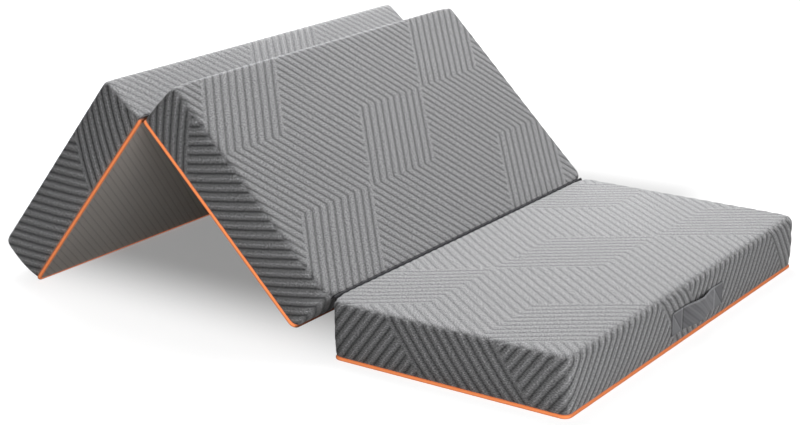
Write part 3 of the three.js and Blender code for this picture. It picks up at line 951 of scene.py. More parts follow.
def makeRibTree():
    tree, given, result = newTree(
        "ribbedCover",
        "GeometryNodeTree",
        [
            ("Geometry", "NodeSocketGeometry", None),
            ("Rib Pitch", "NodeSocketFloat", ribs["pitch"]),
            ("Rib Run", "NodeSocketFloat", ribs["run"]),
            ("Row Height", "NodeSocketFloat", ribs["row"]),
            ("Groove Width", "NodeSocketFloat", ribs["groove"]),
            ("Groove Share", "NodeSocketFloat", ribs["grooveShare"]),
            ("Ridge Share", "NodeSocketFloat", ribs["ridge"]),
            ("Rib Depth", "NodeSocketFloat", 0.0016),
            ("Top Painted Shade", "NodeSocketFloat", 0.34),
            ("Side Painted Shade", "NodeSocketFloat", 0.7),
            ("Side Highlight", "NodeSocketFloat", ribs["sideHighlight"]),
            ("Pucker", "NodeSocketFloat", 0.0007),
            ("Seed", "NodeSocketFloat", 3.0),
            ("Material", "NodeSocketMaterial", None),
        ],
        [("Geometry", "NodeSocketGeometry")],
    )
    group = makeRibGroup()
    shapes = []
    for face in ("top", "side"):
        made = useGroup(
            tree, group, "GeometryNodeGroup",
            Across=named(tree, face + "Across"), Down=named(tree, face + "Down"),
            Band=named(tree, face + "Band"), Repeat=named(tree, face + "Repeat"),
            Pitch=given["Rib Pitch"], Run=given["Rib Run"], Row=given["Row Height"],
            Groove=given["Groove Width"], Ridge=given["Ridge Share"],
            **{"Groove Share": given["Groove Share"]},
        )
        shapes.append(made)
    share = named(tree, "sideShare")
    strength = named(tree, "ribStrength")

    def mixed(top, side):
        sided = work(tree, "MULTIPLY", side, share)
        both = work(tree, "MULTIPLY_ADD", top, work(tree, "SUBTRACT", 1.0, share), sided)
        return work(tree, "MULTIPLY", both, strength)

    groove = mixed(shapes[0]["Depth"], shapes[1]["Depth"])
    # Painted shade in the hollows of the side ribs, less a painted highlight along their crests; end faces keep only
    # part of it.
    sidePaintedLight = work(
        tree, "SUBTRACT",
        work(tree, "MULTIPLY", shapes[1]["Hollow"], given["Side Painted Shade"]),
        work(tree, "MULTIPLY", shapes[1]["Line"], given["Side Highlight"]),
    )
    sidePaintedLight = work(tree, "MULTIPLY", sidePaintedLight, named(tree, "faceShadeShare"))
    # Painted shade in the hollows of the top's ribs.
    topHollow = work(tree, "MULTIPLY", work(tree, "ADD", shapes[0]["Depth"], shapes[0]["Hollow"]), 0.5)
    paintedShade = mixed(work(tree, "MULTIPLY", topHollow, given["Top Painted Shade"]), sidePaintedLight)
    store = tree.nodes.new("GeometryNodeStoreNamedAttribute")
    store.data_type = "FLOAT"
    store.domain = "POINT"
    store.inputs["Name"].default_value = "ribPaintedLight"
    tree.links.new(given["Geometry"], store.inputs["Geometry"])
    # Each face's painted light level, lighter or darker for how light falls on it.
    level = work(tree, "MULTIPLY_ADD", work(tree, "SUBTRACT", named(tree, "facePaintedLight"), 1.0), share, 1.0)
    tree.links.new(work(tree, "MULTIPLY", work(tree, "SUBTRACT", 1.0, paintedShade), level), store.inputs["Value"])

    # Small puckers gather the cloth above its seam.
    height = named(tree, "seamShare")
    noise = tree.nodes.new("ShaderNodeTexNoise")
    noise.noise_dimensions = "4D"
    noise.inputs["Scale"].default_value = 38
    noise.inputs["Detail"].default_value = 2
    tree.links.new(given["Seed"], noise.inputs["W"])
    gather = work(tree, "MULTIPLY", work(tree, "SUBTRACT", noise.outputs["Fac"], 0.5), given["Pucker"])
    gather = work(tree, "MULTIPLY", gather, work(tree, "MULTIPLY", height, 2.0))
    move = work(tree, "SUBTRACT", gather, work(tree, "MULTIPLY", groove, given["Rib Depth"]))
    normal = tree.nodes.new("GeometryNodeInputNormal")
    offset = tree.nodes.new("ShaderNodeVectorMath")
    offset.operation = "SCALE"
    tree.links.new(normal.outputs[0], offset.inputs[0])
    tree.links.new(move, offset.inputs["Scale"])
    place = tree.nodes.new("GeometryNodeSetPosition")
    tree.links.new(store.outputs["Geometry"], place.inputs["Geometry"])
    tree.links.new(offset.outputs[0], place.inputs["Offset"])
    closing(tree, place.outputs["Geometry"], given["Material"], result["Geometry"])
    return tree


def closing(tree, geometry, material, target):
    realize = tree.nodes.new("GeometryNodeRealizeInstances")
    finish = tree.nodes.new("GeometryNodeSetMaterial")
    tree.links.new(geometry, realize.inputs[0])
    tree.links.new(realize.outputs[0], finish.inputs["Geometry"])
    tree.links.new(material, finish.inputs["Material"])
    tree.links.new(finish.outputs[0], target)


ribTree = makeRibTree()


def lineInside(piece, peakEnd):
    # The lip runs on up the inside as a plain lining, so that the cover is one closed shell.
    shell = bmesh.new()
    shell.from_mesh(piece.data)
    wall = cover["wall"]
    rim = [edge for edge in shell.edges if edge.is_boundary]
    levels = ((0.0125, wall + panel["seamTuck"]), (0.045, wall), (0.120, wall), (0.139, wall + 0.013))
    for height, inset in levels:
        grown = bmesh.ops.extrude_edge_only(shell, edges=rim)["geom"]
        rim = [item for item in grown if isinstance(item, bmesh.types.BMEdge) and item.is_boundary]
        for vert in {vert for edge in rim for vert in edge.verts}:
            scaleX = (halfLength - inset) / (halfLength - cover["lipInset"] - panel["seamTuck"] / 2)
            scaleY = (halfWidth - inset) / (halfWidth - cover["lipInset"] - panel["seamTuck"] / 2)
            vert.co.x = max(-halfLength + inset, min(halfLength - inset, vert.co.x * scaleX))
            vert.co.y = max(-halfWidth + inset, min(halfWidth - inset, vert.co.y * scaleY))
            vert.co.z = height
            radius = panel["foldCornerRadius"] if vert.co.x * peakEnd > 0 else panel["cornerRadius"]
            corner = Vector((halfLength - radius, halfWidth - radius))
            offset = Vector((abs(vert.co.x), abs(vert.co.y))) - corner
            room = max(radius - inset, panel["leastRadius"])
            if min(offset) > 0 and offset.length > room:
                offset *= room / offset.length
                vert.co.x = math.copysign(corner.x + offset.x, vert.co.x)
                vert.co.y = math.copysign(corner.y + offset.y, vert.co.y)
    bmesh.ops.edgeloop_fill(shell, edges=rim)
    bmesh.ops.recalc_face_normals(shell, faces=shell.faces)
    shell.to_mesh(piece.data)
    shell.free()


def mapCloth(mesh, mapped):
    layer = mesh.uv_layers.new(name="cloth")
    corners = np.empty(len(mesh.loops), np.int32)
    mesh.loops.foreach_get("vertex_index", corners)
    layer.data.foreach_set("uv", mapped[corners].astype(np.float32).ravel())


def makeCover(name):
    plan = panels[name]
    start, faces, loops = coverCage(plan, cover["shrink"])
    cage = newPiece("cage", start, faces)
    moved = swell(cage, loops) - start
    reach = np.linalg.norm(moved, axis=1)
    farthest = cover["farthest"]
    share = farthest * (1 - np.exp(-reach / farthest)) / np.maximum(reach, 1e-9)
    swollen = start + moved * share[:, None]
    highest = (halfLength, halfWidth, panel["thickness"] + 0.002)
    swollen = np.clip(swollen, (-halfLength, -halfWidth, 0), highest)
    bpy.data.objects.remove(cage)
    middle, most = (round(float(value) * 1000, 2) for value in (np.median(reach), reach.max()))
    print(name, "cover swelled by", middle, "mm, at most", most)
    restPiece = subdivided("rest", coverCage(plan, 0)[0], faces)
    rest = placesOf(restPiece.data)
    bpy.data.objects.remove(restPiece)
    piece = subdivided(name + "_cover_knit", swollen, faces)
    mesh = piece.data
    places = placesOf(mesh)
    recess = zipShare(rest, 0.003)
    places[:, 1] -= recess * zipRecess["depth"]
    places += foldMeeting(rest, name)
    setPlaces(mesh, places)
    values, mapped = clothPlaces(rest, name)
    values["seamShare"] = 1 - smoothStep(0.012, 0.04, rest[:, 2])
    for label, value in values.items():
        setValues(mesh, label, value)
    mapCloth(mesh, mapped)
    shadeSmooth(piece)
    addNodes(piece, ribTree, {
        "Rib Pitch": ribs["pitch"], "Rib Run": ribs["run"], "Row Height": ribs["row"],
        "Groove Width": ribs["groove"], "Groove Share": ribs["grooveShare"],
        "Ridge Share": ribs["ridge"], "Rib Depth": ribs["depth"][name], "Material": coverKnit,
        "Top Painted Shade": ribs["topPaintedShade"][name], "Side Painted Shade": ribs["sidePaintedShade"][name],
        "Side Highlight": ribs["sideHighlight"],
    })
    settle(piece)
    for label in values:
        piece.data.attributes.remove(piece.data.attributes[label])
    lineInside(piece, plan["peakEnd"])
    shadeSmooth(piece)
    return finishPiece(piece, piece.name, [name + "_cover"], plan["body"], plan["matrix"])


makeCamera()
makeLights()


floorLook = {
    "size": 9.0,
    "colour": 0.3,
    "glow": 0.915,  # seen by the camera alone, so that the floor stays white away from the mattress
    "shadowPoolGlow": 0.27,  # the same in a fixed patch under the raised panels, where the floor keeps more of their shadow and is also painted grey as a painted shadow pool
}


def makeFloor():
    size = floorLook["size"]
    corners = [(-size, -size, 0), (size, -size, 0), (size, size, 0), (-size, size, 0)]
    floor = newPiece("floor", corners, [(0, 1, 2, 3)])
    material = bpy.data.materials.new("paleFloor")
    material.use_nodes = True
    tree = material.node_tree
    shader = tree.nodes["Principled BSDF"]
    tone = floorLook["colour"]
    shader.inputs["Base Color"].default_value = (tone, tone, tone, 1)
    shader.inputs["Roughness"].default_value = 0.9
    shader.inputs["Specular IOR Level"].default_value = 0.1
    coordinate = tree.nodes.new("ShaderNodeTexCoord")
    parts = tree.nodes.new("ShaderNodeSeparateXYZ")
    tree.links.new(coordinate.outputs["Object"], parts.inputs[0])
    x, y = parts.outputs["X"], parts.outputs["Y"]
    # A painted shadow pool: the camera glow is lower in this fixed patch under the raised panels, so the floor shows
    # grey there whatever stands above it.
    under = work(tree, "MULTIPLY", smoothBetween(tree, x, -1.9, -1.3), smoothBetween(tree, x, -0.28, 0.0, 1, 0))
    under = work(tree, "MULTIPLY", under, smoothBetween(tree, y, -0.68, -0.26))
    under = work(tree, "MULTIPLY", under, smoothBetween(tree, y, 0.9, 1.4, 1, 0))
    glow = work(tree, "MULTIPLY_ADD", under, floorLook["shadowPoolGlow"] - floorLook["glow"], floorLook["glow"])
    path = tree.nodes.new("ShaderNodeLightPath")
    tree.links.new(work(tree, "MULTIPLY", glow, directly(tree, path)), shader.inputs["Emission Strength"])
    shader.inputs["Emission Color"].default_value = (1, 1, 1, 1)
    dress(floor, material)


makeFloor()
for name in panels:
    makeCover(name)
    print(name, "cover made")


# Piping: a corded edge that follows each panel's underside

# The piping's glow is a painted glow of its own colour.
piping = {"diameter": 0.009, "inset": 0.0035, "step": 0.004, "sides": 14, "uneven": 0.0005, "glow": 0.92}


def pipingPath(peakEnd):
    # The centreline, evenly stepped, round the panel's rounded outline
    radius = piping["diameter"] / 2
    ring = (radius, piping["inset"], radius)
    count = 240
    square = [(1, -1 + 2 * s / count) for s in range(count)]
    square += [(1 - 2 * s / count, 1) for s in range(count)]
    square += [(-1, 1 - 2 * s / count) for s in range(count)]
    square += [(-1 + 2 * s / count, -1) for s in range(count)]
    points = np.array([outlinePoint(place, ring, peakEnd) for place in square])
    return points


def makePipingTree():
    tree, given, result = newTree(
        "cordedEdge",
        "GeometryNodeTree",
        [
            ("Geometry", "NodeSocketGeometry", None),
            ("Radius", "NodeSocketFloat", 0.0045),
            ("Step", "NodeSocketFloat", 0.004),
            ("Sides", "NodeSocketInt", 14),
            ("Unevenness", "NodeSocketFloat", 0.0005),
            ("Material", "NodeSocketMaterial", None),
        ],
        [("Geometry", "NodeSocketGeometry")],
    )
    toCurve = tree.nodes.new("GeometryNodeMeshToCurve")
    tree.links.new(given["Geometry"], toCurve.inputs[0])
    even = tree.nodes.new("GeometryNodeResampleCurve")
    even.mode = "LENGTH"
    tree.links.new(toCurve.outputs[0], even.inputs["Curve"])
    tree.links.new(given["Step"], even.inputs["Length"])
    noise = tree.nodes.new("ShaderNodeTexNoise")
    noise.noise_dimensions = "3D"
    noise.inputs["Scale"].default_value = 30
    swellBy = work(tree, "MULTIPLY", work(tree, "SUBTRACT", noise.outputs["Fac"], 0.5), given["Unevenness"])
    along = tree.nodes.new("GeometryNodeSplineParameter")
    keepAlong = tree.nodes.new("GeometryNodeCaptureAttribute")
    keepAlong.capture_items.new("FLOAT", "along")
    tree.links.new(even.outputs[0], keepAlong.inputs[0])
    tree.links.new(along.outputs["Length"], keepAlong.inputs[1])
    circle = tree.nodes.new("GeometryNodeCurvePrimitiveCircle")
    tree.links.new(given["Sides"], circle.inputs["Resolution"])
    tree.links.new(given["Radius"], circle.inputs["Radius"])
    around = tree.nodes.new("GeometryNodeSplineParameter")
    keepAround = tree.nodes.new("GeometryNodeCaptureAttribute")
    keepAround.capture_items.new("FLOAT", "around")
    tree.links.new(circle.outputs[0], keepAround.inputs[0])
    tree.links.new(around.outputs["Length"], keepAround.inputs[1])
    sweep = tree.nodes.new("GeometryNodeCurveToMesh")
    tree.links.new(keepAlong.outputs[0], sweep.inputs["Curve"])
    tree.links.new(keepAround.outputs[0], sweep.inputs["Profile Curve"])
    place = tree.nodes.new("ShaderNodeCombineXYZ")
    tree.links.new(keepAlong.outputs[1], place.inputs[0])
    tree.links.new(keepAround.outputs[1], place.inputs[1])
    store = tree.nodes.new("GeometryNodeStoreNamedAttribute")
    store.data_type = "FLOAT2"
    store.domain = "CORNER"
    store.inputs["Name"].default_value = "cloth"
    tree.links.new(sweep.outputs[0], store.inputs["Geometry"])
    tree.links.new(place.outputs[0], store.inputs["Value"])
    normal = tree.nodes.new("GeometryNodeInputNormal")
    offset = tree.nodes.new("ShaderNodeVectorMath")
    offset.operation = "SCALE"
    tree.links.new(normal.outputs[0], offset.inputs[0])
    tree.links.new(swellBy, offset.inputs["Scale"])
    move = tree.nodes.new("GeometryNodeSetPosition")
    tree.links.new(store.outputs["Geometry"], move.inputs["Geometry"])
    tree.links.new(offset.outputs[0], move.inputs["Offset"])
    smooth = tree.nodes.new("GeometryNodeSetShadeSmooth")
    tree.links.new(move.outputs[0], smooth.inputs["Geometry"])
    closing(tree, smooth.outputs[0], given["Material"], result["Geometry"])
    return tree


pipingTree = makePipingTree()


def makePiping(name):
    plan = panels[name]
    points = pipingPath(plan["peakEnd"])
    edges = [(s, (s + 1) % len(points)) for s in range(len(points))]
    piece = newPiece(name + "_piping_cord", points, [], edges)
    addNodes(piece, pipingTree, {
        "Radius": piping["diameter"] / 2 - 0.0001, "Step": piping["step"], "Sides": piping["sides"],
        "Unevenness": piping["uneven"], "Material": pipingCloth,
    })
    settle(piece)
    glow = np.full(len(piece.data.vertices), piping["glow"])
    x, y = placesOf(piece.data).T[:2]
    for end in plan["shaded"]:
        # The runs in the folds and at the foot lie in shade, so their painted glow is taken off and their colour is
        # darkened as painted shade.
        atEnd = smoothStep(0.010, 0.006, halfLength - x * end)
        glow *= 1 - atEnd * smoothStep(0.004, 0.014, halfWidth - np.abs(y))
    setValues(piece.data, "paintedGlowShade", glow)
    finishPiece(piece, piece.name, [name + "_piping"], plan["body"], plan["matrix"])


for name in panels:
    makePiping(name)
print("piping made")


# Foam layers, inside the covers

foam = {
    "depth": 0.0055,  # inside the cover's outer face
    "edgeRadius": 0.03,
    "memoryBottom": 0.0945,
    "supportTop": 0.0942,
    "supportBottom": 0.002,
    "besidePiping": 0.0095,
    "rows": 18,
    "columns": 34,
}


def closedShell(name, peakEnd, topRing, crown, rings, rows, columns):
    # A body whose top and bottom are grids that share their borders with the rings between them
    points, faces = [], []

    def level(ring, rise):
        start = len(points)
        for i in range(rows + 1):
            for j in range(columns + 1):
                u, v = 2 * i / rows - 1, 2 * j / columns - 1
                x, y, z = outlinePoint((u, v), ring, peakEnd)
                points.append((x, y, z + rise * (1 - u * u) * (1 - v * v)))
        return start

    def cells(start, upwards):
        for i in range(rows):
            for j in range(columns):
                corner = start + i * (columns + 1) + j
                face = (corner, corner + columns + 1, corner + columns + 2, corner + 1)
                faces.append(face if upwards else face[::-1])

    border = [(rows, j) for j in range(columns)]
    border += [(i, columns) for i in range(rows, 0, -1)]
    border += [(0, j) for j in range(columns, 0, -1)]
    border += [(i, 0) for i in range(rows)]
    top = level(topRing, crown)
    cells(top, True)
    loops = [[top + i * (columns + 1) + j for i, j in border]]
    for ring in rings[:-1]:
        start = len(points)
        points.extend(outlinePoint((2 * i / rows - 1, 2 * j / columns - 1), ring, peakEnd) for i, j in border)
        loops.append(list(range(start, len(points))))
    bottom = level(rings[-1], 0)
    cells(bottom, False)
    loops.append([bottom + i * (columns + 1) + j for i, j in border])
    count = len(border)
    for upper, lower in zip(loops, loops[1:]):
        for s in range(count):
            t = (s + 1) % count
            faces.append((lower[s], lower[t], upper[t], upper[s]))
    return newPiece(name, points, faces)


def makeFoams(name):
    plan = panels[name]
    depth, radius = foam["depth"], foam["edgeRadius"]
    arc = panel["edgeTop"] - radius
    reach = radius - depth
    edge = [
        (radius - reach * math.sin(angle), 0, arc + reach * math.cos(angle))
        for angle in (math.pi / 8, math.pi / 4, math.pi * 3 / 8, math.pi / 2)
    ]
    memory = closedShell(
        name + "_memory_layer", plan["peakEnd"], (radius, 0, arc + reach), panel["crown"],
        edge + [(depth, 0, 0.1), (depth, 0, foam["memoryBottom"])], foam["rows"], foam["columns"],
    )
    upright = [(depth, tuckAt(height), height) for height in (0.042, 0.03, 0.02, 0.0135)]
    beside = foam["besidePiping"]
    support = closedShell(
        name + "_support_layer", plan["peakEnd"], (depth, 0, foam["supportTop"]), 0,
        upright + [(beside, 0.0035, beside), (beside, 0.0035, foam["supportBottom"])],
        foam["rows"], foam["columns"],
    )
    for piece, node, material in ((memory, "memory_foam", memoryFoam), (support, "support_foam", supportFoam)):
        dress(piece, material)
        shadeSmooth(piece, math.radians(40))
        finishPiece(piece, piece.name, [name + "_" + node], plan["body"], plan["matrix"])


for name in panels:
    makeFoams(name)
print("foam made")


# Bottom cloths, stretched inside the piping

bottom = {"inset": 0.0094, "tuck": 0.0035, "top": 0.0013, "low": 0.0003, "slack": 0.0005, "rows": 60, "columns": 118}


def makeBottomCloth(name):
    plan = panels[name]
    ring = (bottom["inset"], bottom["tuck"])
    piece = closedShell(
        name + "_dotted_cloth", plan["peakEnd"], (*ring, bottom["top"]), 0, [(*ring, bottom["low"])],
        bottom["rows"], bottom["columns"],
    )
    places = placesOf(piece.data)
    x, y, z = places.T
    inner = np.minimum(halfLength - np.abs(x), halfWidth - np.abs(y)) - 0.013
    wave = np.sin(x * 21 + 2 * np.sin(y * 7)) * np.sin(y * 16 + 1.3)
    places[:, 2] = z + bottom["slack"] * 0.5 * (1 + wave) * smoothStep(0, 0.05, inner) * (z < 0.0008)
    setPlaces(piece.data, places)
    mapCloth(piece.data, places[:, :2])
    dress(piece, dottedCloth)
    shadeSmooth(piece, math.radians(40))
    finishPiece(piece, piece.name, [name + "_bottom_cloth"], plan["body"], plan["matrix"])


for name in panels:
    makeBottomCloth(name)
print("bottom cloths made")


# Stitches: short threads laid along drawn lines


def makeStitchTree():
    tree, given, result = newTree(
        "stitchLine",
        "GeometryNodeTree",
        [
            ("Geometry", "NodeSocketGeometry", None),
            ("Spacing", "NodeSocketFloat", 0.0038),
            ("Stitch Length", "NodeSocketFloat", 0.0027),
            ("Thread Radius", "NodeSocketFloat", 0.00045),
            ("Material", "NodeSocketMaterial", None),
        ],
        [("Geometry", "NodeSocketGeometry")],
    )
    toCurve = tree.nodes.new("GeometryNodeMeshToCurve")
    tree.links.new(given["Geometry"], toCurve.inputs[0])
    points = tree.nodes.new("GeometryNodeCurveToPoints")
    points.mode = "LENGTH"
    tree.links.new(toCurve.outputs[0], points.inputs["Curve"])
    tree.links.new(given["Spacing"], points.inputs["Length"])
    thread = tree.nodes.new("GeometryNodeMeshUVSphere")
    thread.inputs["Segments"].default_value = 6
    thread.inputs["Rings"].default_value = 5
    thread.inputs["Radius"].default_value = 1.0
    shape = tree.nodes.new("GeometryNodeTransform")
    size = tree.nodes.new("ShaderNodeCombineXYZ")
    tree.links.new(given["Thread Radius"], size.inputs[0])
    tree.links.new(given["Thread Radius"], size.inputs[1])
    tree.links.new(work(tree, "MULTIPLY", given["Stitch Length"], 0.5), size.inputs[2])
    tree.links.new(thread.outputs["Mesh"], shape.inputs["Geometry"])
    tree.links.new(size.outputs[0], shape.inputs["Scale"])
    turn = tree.nodes.new("FunctionNodeAlignRotationToVector")
    turn.axis = "Z"
    tree.links.new(points.outputs["Tangent"], turn.inputs["Vector"])
    laid = tree.nodes.new("GeometryNodeInstanceOnPoints")
    tree.links.new(points.outputs["Points"], laid.inputs["Points"])
    tree.links.new(shape.outputs[0], laid.inputs["Instance"])
    tree.links.new(turn.outputs[0], laid.inputs["Rotation"])
    closing(tree, laid.outputs[0], given["Material"], result["Geometry"])
    return tree


stitchTree = makeStitchTree()


def makeStitches(name, lines, body, matrix=None):
    points, edges = [], []
    for line in lines:
        edges += [(len(points) + s, len(points) + s + 1) for s in range(len(line) - 1)]
        points += list(line)
    piece = newPiece(name, points, [], edges)
    addNodes(piece, stitchTree, {"Material": threadLook})
    settle(piece)
    shadeSmooth(piece)
    return finishPiece(piece, name, [], body, matrix)


# Handle: a strap sewn flat at both ends, which bows out between them

handle = {
    "length": 0.273,
    "height": 0.058,
    "bottom": 0.038,
    "middle": 0.0115,
    "patch": 0.051,
    "thickness": 0.0022,
    "bow": 0.0128,
    "stand": 0.0003,
    "foldedLayer": 0.0010,  # the end of the strap, turned under at each patch
    "crease": 0.0014,
    "alongSteps": 200,
    "upSteps": 44,
}


def handleFace(along, up):
    # The strap's middle layer at a share along it and a share up it, as (out, across, height)
    place = (along - 0.5) * handle["length"]
    free = handle["length"] - 2 * handle["patch"]
    share = np.clip(place / free + 0.5, 0, 1)
    out = handle["bow"] * 0.5 * (1 - np.cos(2 * np.pi * share))
    # Soft folds run from the upper left to the lower right of the free part.
    slant = place * 0.75 + (up - 0.5) * handle["height"]
    out = out + 0.00055 * np.sin(slant * 230) * np.sin(np.pi * share) ** 2
    # Each sewn end is double, with a crease from its upper left to its lower right.
    patchShare = np.where(place < 0, (place + handle["length"] / 2), (place - free / 2)) / handle["patch"]
    edgeDistance = np.abs(place) - free / 2
    out = out + handle["foldedLayer"] * smoothStep(-0.0006, 0.0006, edgeDistance)
    inPatch = (patchShare > 0) & (patchShare < 1)
    across = up - (1 - patchShare)
    crease = 0.5 * smoothStep(0.03, -0.16, across) - np.exp(-(across / 0.035) ** 2)
    fade = smoothStep(0.0, 0.10, patchShare) * smoothStep(1.0, 0.90, patchShare)
    fade = fade * smoothStep(0.0, 0.10, up) * smoothStep(1.0, 0.90, up)
    out = out + np.where(inPatch, handle["crease"] * crease * fade, 0)
    return out, place + handle["middle"], handle["bottom"] + up * handle["height"]


def handlePaintedLight(along, up):
    # Painted shade and painted highlights: darker in the creases, on the sunk corner of each patch, beside the patch
    # edges, at the corners of the left end, at the right end and towards the left of the free part; lighter along
    # the folds, the patch edges and the top rim, and on the patches
    place = (along - 0.5) * handle["length"]
    free = handle["length"] - 2 * handle["patch"]
    patchShare = np.where(place < 0, (place + handle["length"] / 2), (place - free / 2)) / handle["patch"]
    inPatch = (patchShare > 0) & (patchShare < 1)
    across = up - (1 - patchShare)
    tone = np.where(inPatch, 1.42, 1.25)
    tone -= np.where(inPatch, 0.6 * np.exp(-((across + 0.01) / 0.04) ** 2), 0)
    tone += np.where(inPatch, 0.4 * np.exp(-((across + 0.10) / 0.045) ** 2), 0)
    tone -= np.where(inPatch, 0.3 * smoothStep(-0.03, 0.03, across), 0)
    inside = free / 2 - np.abs(place)
    left = place < 0
    tone -= np.where(left, 0.5, 0.12) * smoothStep(-0.0004, 0.0004, inside) * smoothStep(0.010, 0.002, inside)
    tone += 0.8 * np.exp(-((inside + 0.0034) / 0.0028) ** 2)
    share = np.clip(place / free + 0.5, 0, 1)
    slant = place * 0.75 + (up - 0.5) * handle["height"]
    tone += (inside > 0) * (0.6 * (share - 0.55) + 0.14 * np.sin(slant * 230) + 0.10 * np.sin(slant * 610 + 1))
    rightEnd = (0.5 * handle["length"] - place)
    tone -= 0.3 * smoothStep(0.006, 0.001, rightEnd)
    fromCorner = np.hypot(place + handle["length"] / 2, np.minimum(up, 1 - up) * handle["height"])
    tone -= 0.6 * smoothStep(0.008, 0.002, fromCorner)
    rim = (1 - up) * handle["height"]
    return np.maximum(tone + 0.9 * np.exp(-((rim - 0.002) / 0.0022) ** 2), 0.1)


def makeHandle():
    rows, columns = handle["alongSteps"], handle["upSteps"]
    along, up = np.meshgrid(np.linspace(0, 1, rows + 1), np.linspace(0, 1, columns + 1), indexing="ij")
    out, across, height = handleFace(along, up)
    fromEdge = np.minimum(np.minimum(along, 1 - along) * handle["length"], np.minimum(up, 1 - up) * handle["height"])
    rounded = handle["thickness"] / 2 * np.sqrt(smoothStep(-0.0006, 0.0016, fromEdge))
    middle = halfLength + handle["stand"] + handle["thickness"] / 2 + out
    layers = []
    for side in (1, -1):
        # The cloth side stays flat, so that only the outer side shows the creases.
        level = middle + rounded if side > 0 else middle - rounded - np.minimum(np.maximum(out, 0), 0.0012)
        layers.append(np.stack([level, across, height], -1).reshape(-1, 3))
    points = np.concatenate(layers)
    faces = []
    wide = columns + 1
    layer = (rows + 1) * wide
    for i in range(rows):
        for j in range(columns):
            corner = i * wide + j
            face = (corner, corner + wide, corner + wide + 1, corner + 1)
            faces.append(face)
            faces.append(tuple(index + layer for index in face[::-1]))
    border = [i * wide for i in range(rows)] + [rows * wide + j for j in range(columns)]
    border += [i * wide + columns for i in range(rows, 0, -1)] + [j for j in range(columns, 0, -1)]
    for s, index in enumerate(border):
        following = border[(s + 1) % len(border)]
        faces.append((following, index, index + layer, following + layer))
    piece = newPiece("handle_webbing", points, faces)
    mapCloth(piece.data, points[:, 1:])
    setValues(piece.data, "strapPaintedLight", np.tile(handlePaintedLight(along, up).ravel(), 2))
    dress(piece, strapWeave)
    shadeSmooth(piece, math.radians(50))
    finishPiece(piece, piece.name, ["handle_strap"], "base_panel")
    patchShare = handle["patch"] / handle["length"]
    margin = 0.075
    lines = []
    for start in (0.0, 1 - patchShare):
        low, high = start + patchShare * margin * 1.2, start + patchShare * (1 - margin * 1.2)
        path = [(low, margin), (high, margin), (high, 1 - margin), (low, 1 - margin), (low, margin)]
        crossing = [(low, 1 - margin), (high, margin)]
        lines += [stitchPath(path), stitchPath(crossing)]
    makeStitches("handle_stitches", lines, "base_panel")


def stitchPath(corners):
    path = []
    for (alongA, upA), (alongB, upB) in zip(corners, corners[1:]):
        for step in range(20):
            share = step / 20
            along, up = alongA + (alongB - alongA) * share, upA + (upB - upA) * share
            out, across, height = handleFace(np.array(along), np.array(up))
            level = halfLength + handle["stand"] + handle["thickness"] + out
            path.append((float(level), float(across), float(height)))
    return path


makeHandle()
print("handle made")


# Zips: tape, coil and the stitches that hold the tape

zipLine = {
    "length": 0.54,
    "height": 0.03,
    "tapeFace": 0.6076,
    "tapeWidth": 0.014,
    "tapeThickness": 0.001,
    "toothPitch": 0.0025,
    "toothWidth": 0.0042,
    "toothRise": 0.0017,
}


def makeToothTree():
    tree, given, result = newTree(
        "zipCoil",
        "GeometryNodeTree",
        [
            ("Geometry", "NodeSocketGeometry", None),
            ("Tooth Pitch", "NodeSocketFloat", 0.0025),
            ("Tooth Width", "NodeSocketFloat", 0.0042),
            ("Tooth Rise", "NodeSocketFloat", 0.0017),
            ("Material", "NodeSocketMaterial", None),
        ],
        [("Geometry", "NodeSocketGeometry")],
    )
    toCurve = tree.nodes.new("GeometryNodeMeshToCurve")
    tree.links.new(given["Geometry"], toCurve.inputs[0])
    points = tree.nodes.new("GeometryNodeCurveToPoints")
    points.mode = "LENGTH"
    tree.links.new(toCurve.outputs[0], points.inputs["Curve"])
    tree.links.new(work(tree, "MULTIPLY", given["Tooth Pitch"], 0.5), points.inputs["Length"])
    tooth = tree.nodes.new("GeometryNodeMeshUVSphere")
    tooth.inputs["Segments"].default_value = 8
    tooth.inputs["Rings"].default_value = 5
    tooth.inputs["Radius"].default_value = 0.5
    shape = tree.nodes.new("GeometryNodeTransform")
    size = tree.nodes.new("ShaderNodeCombineXYZ")
    tree.links.new(work(tree, "MULTIPLY", given["Tooth Pitch"], 0.62), size.inputs[0])
    tree.links.new(given["Tooth Rise"], size.inputs[1])
    tree.links.new(work(tree, "MULTIPLY", given["Tooth Width"], 0.7), size.inputs[2])
    tree.links.new(tooth.outputs["Mesh"], shape.inputs["Geometry"])
    tree.links.new(size.outputs[0], shape.inputs["Scale"])
    index = tree.nodes.new("GeometryNodeInputIndex")
    side = work(tree, "SUBTRACT", work(tree, "FLOORED_MODULO", index.outputs[0], 2.0), 0.5)
    step = tree.nodes.new("ShaderNodeCombineXYZ")
    sway = work(tree, "MULTIPLY", given["Tooth Width"], 0.29)
    tree.links.new(work(tree, "MULTIPLY", side, sway), step.inputs[2])
    spread = tree.nodes.new("GeometryNodeSetPosition")
    tree.links.new(points.outputs["Points"], spread.inputs["Geometry"])
    tree.links.new(step.outputs[0], spread.inputs["Offset"])
    laid = tree.nodes.new("GeometryNodeInstanceOnPoints")
    tree.links.new(spread.outputs[0], laid.inputs["Points"])
    tree.links.new(shape.outputs[0], laid.inputs["Instance"])
    closing(tree, laid.outputs[0], given["Material"], result["Geometry"])
    return tree


toothTree = makeToothTree()


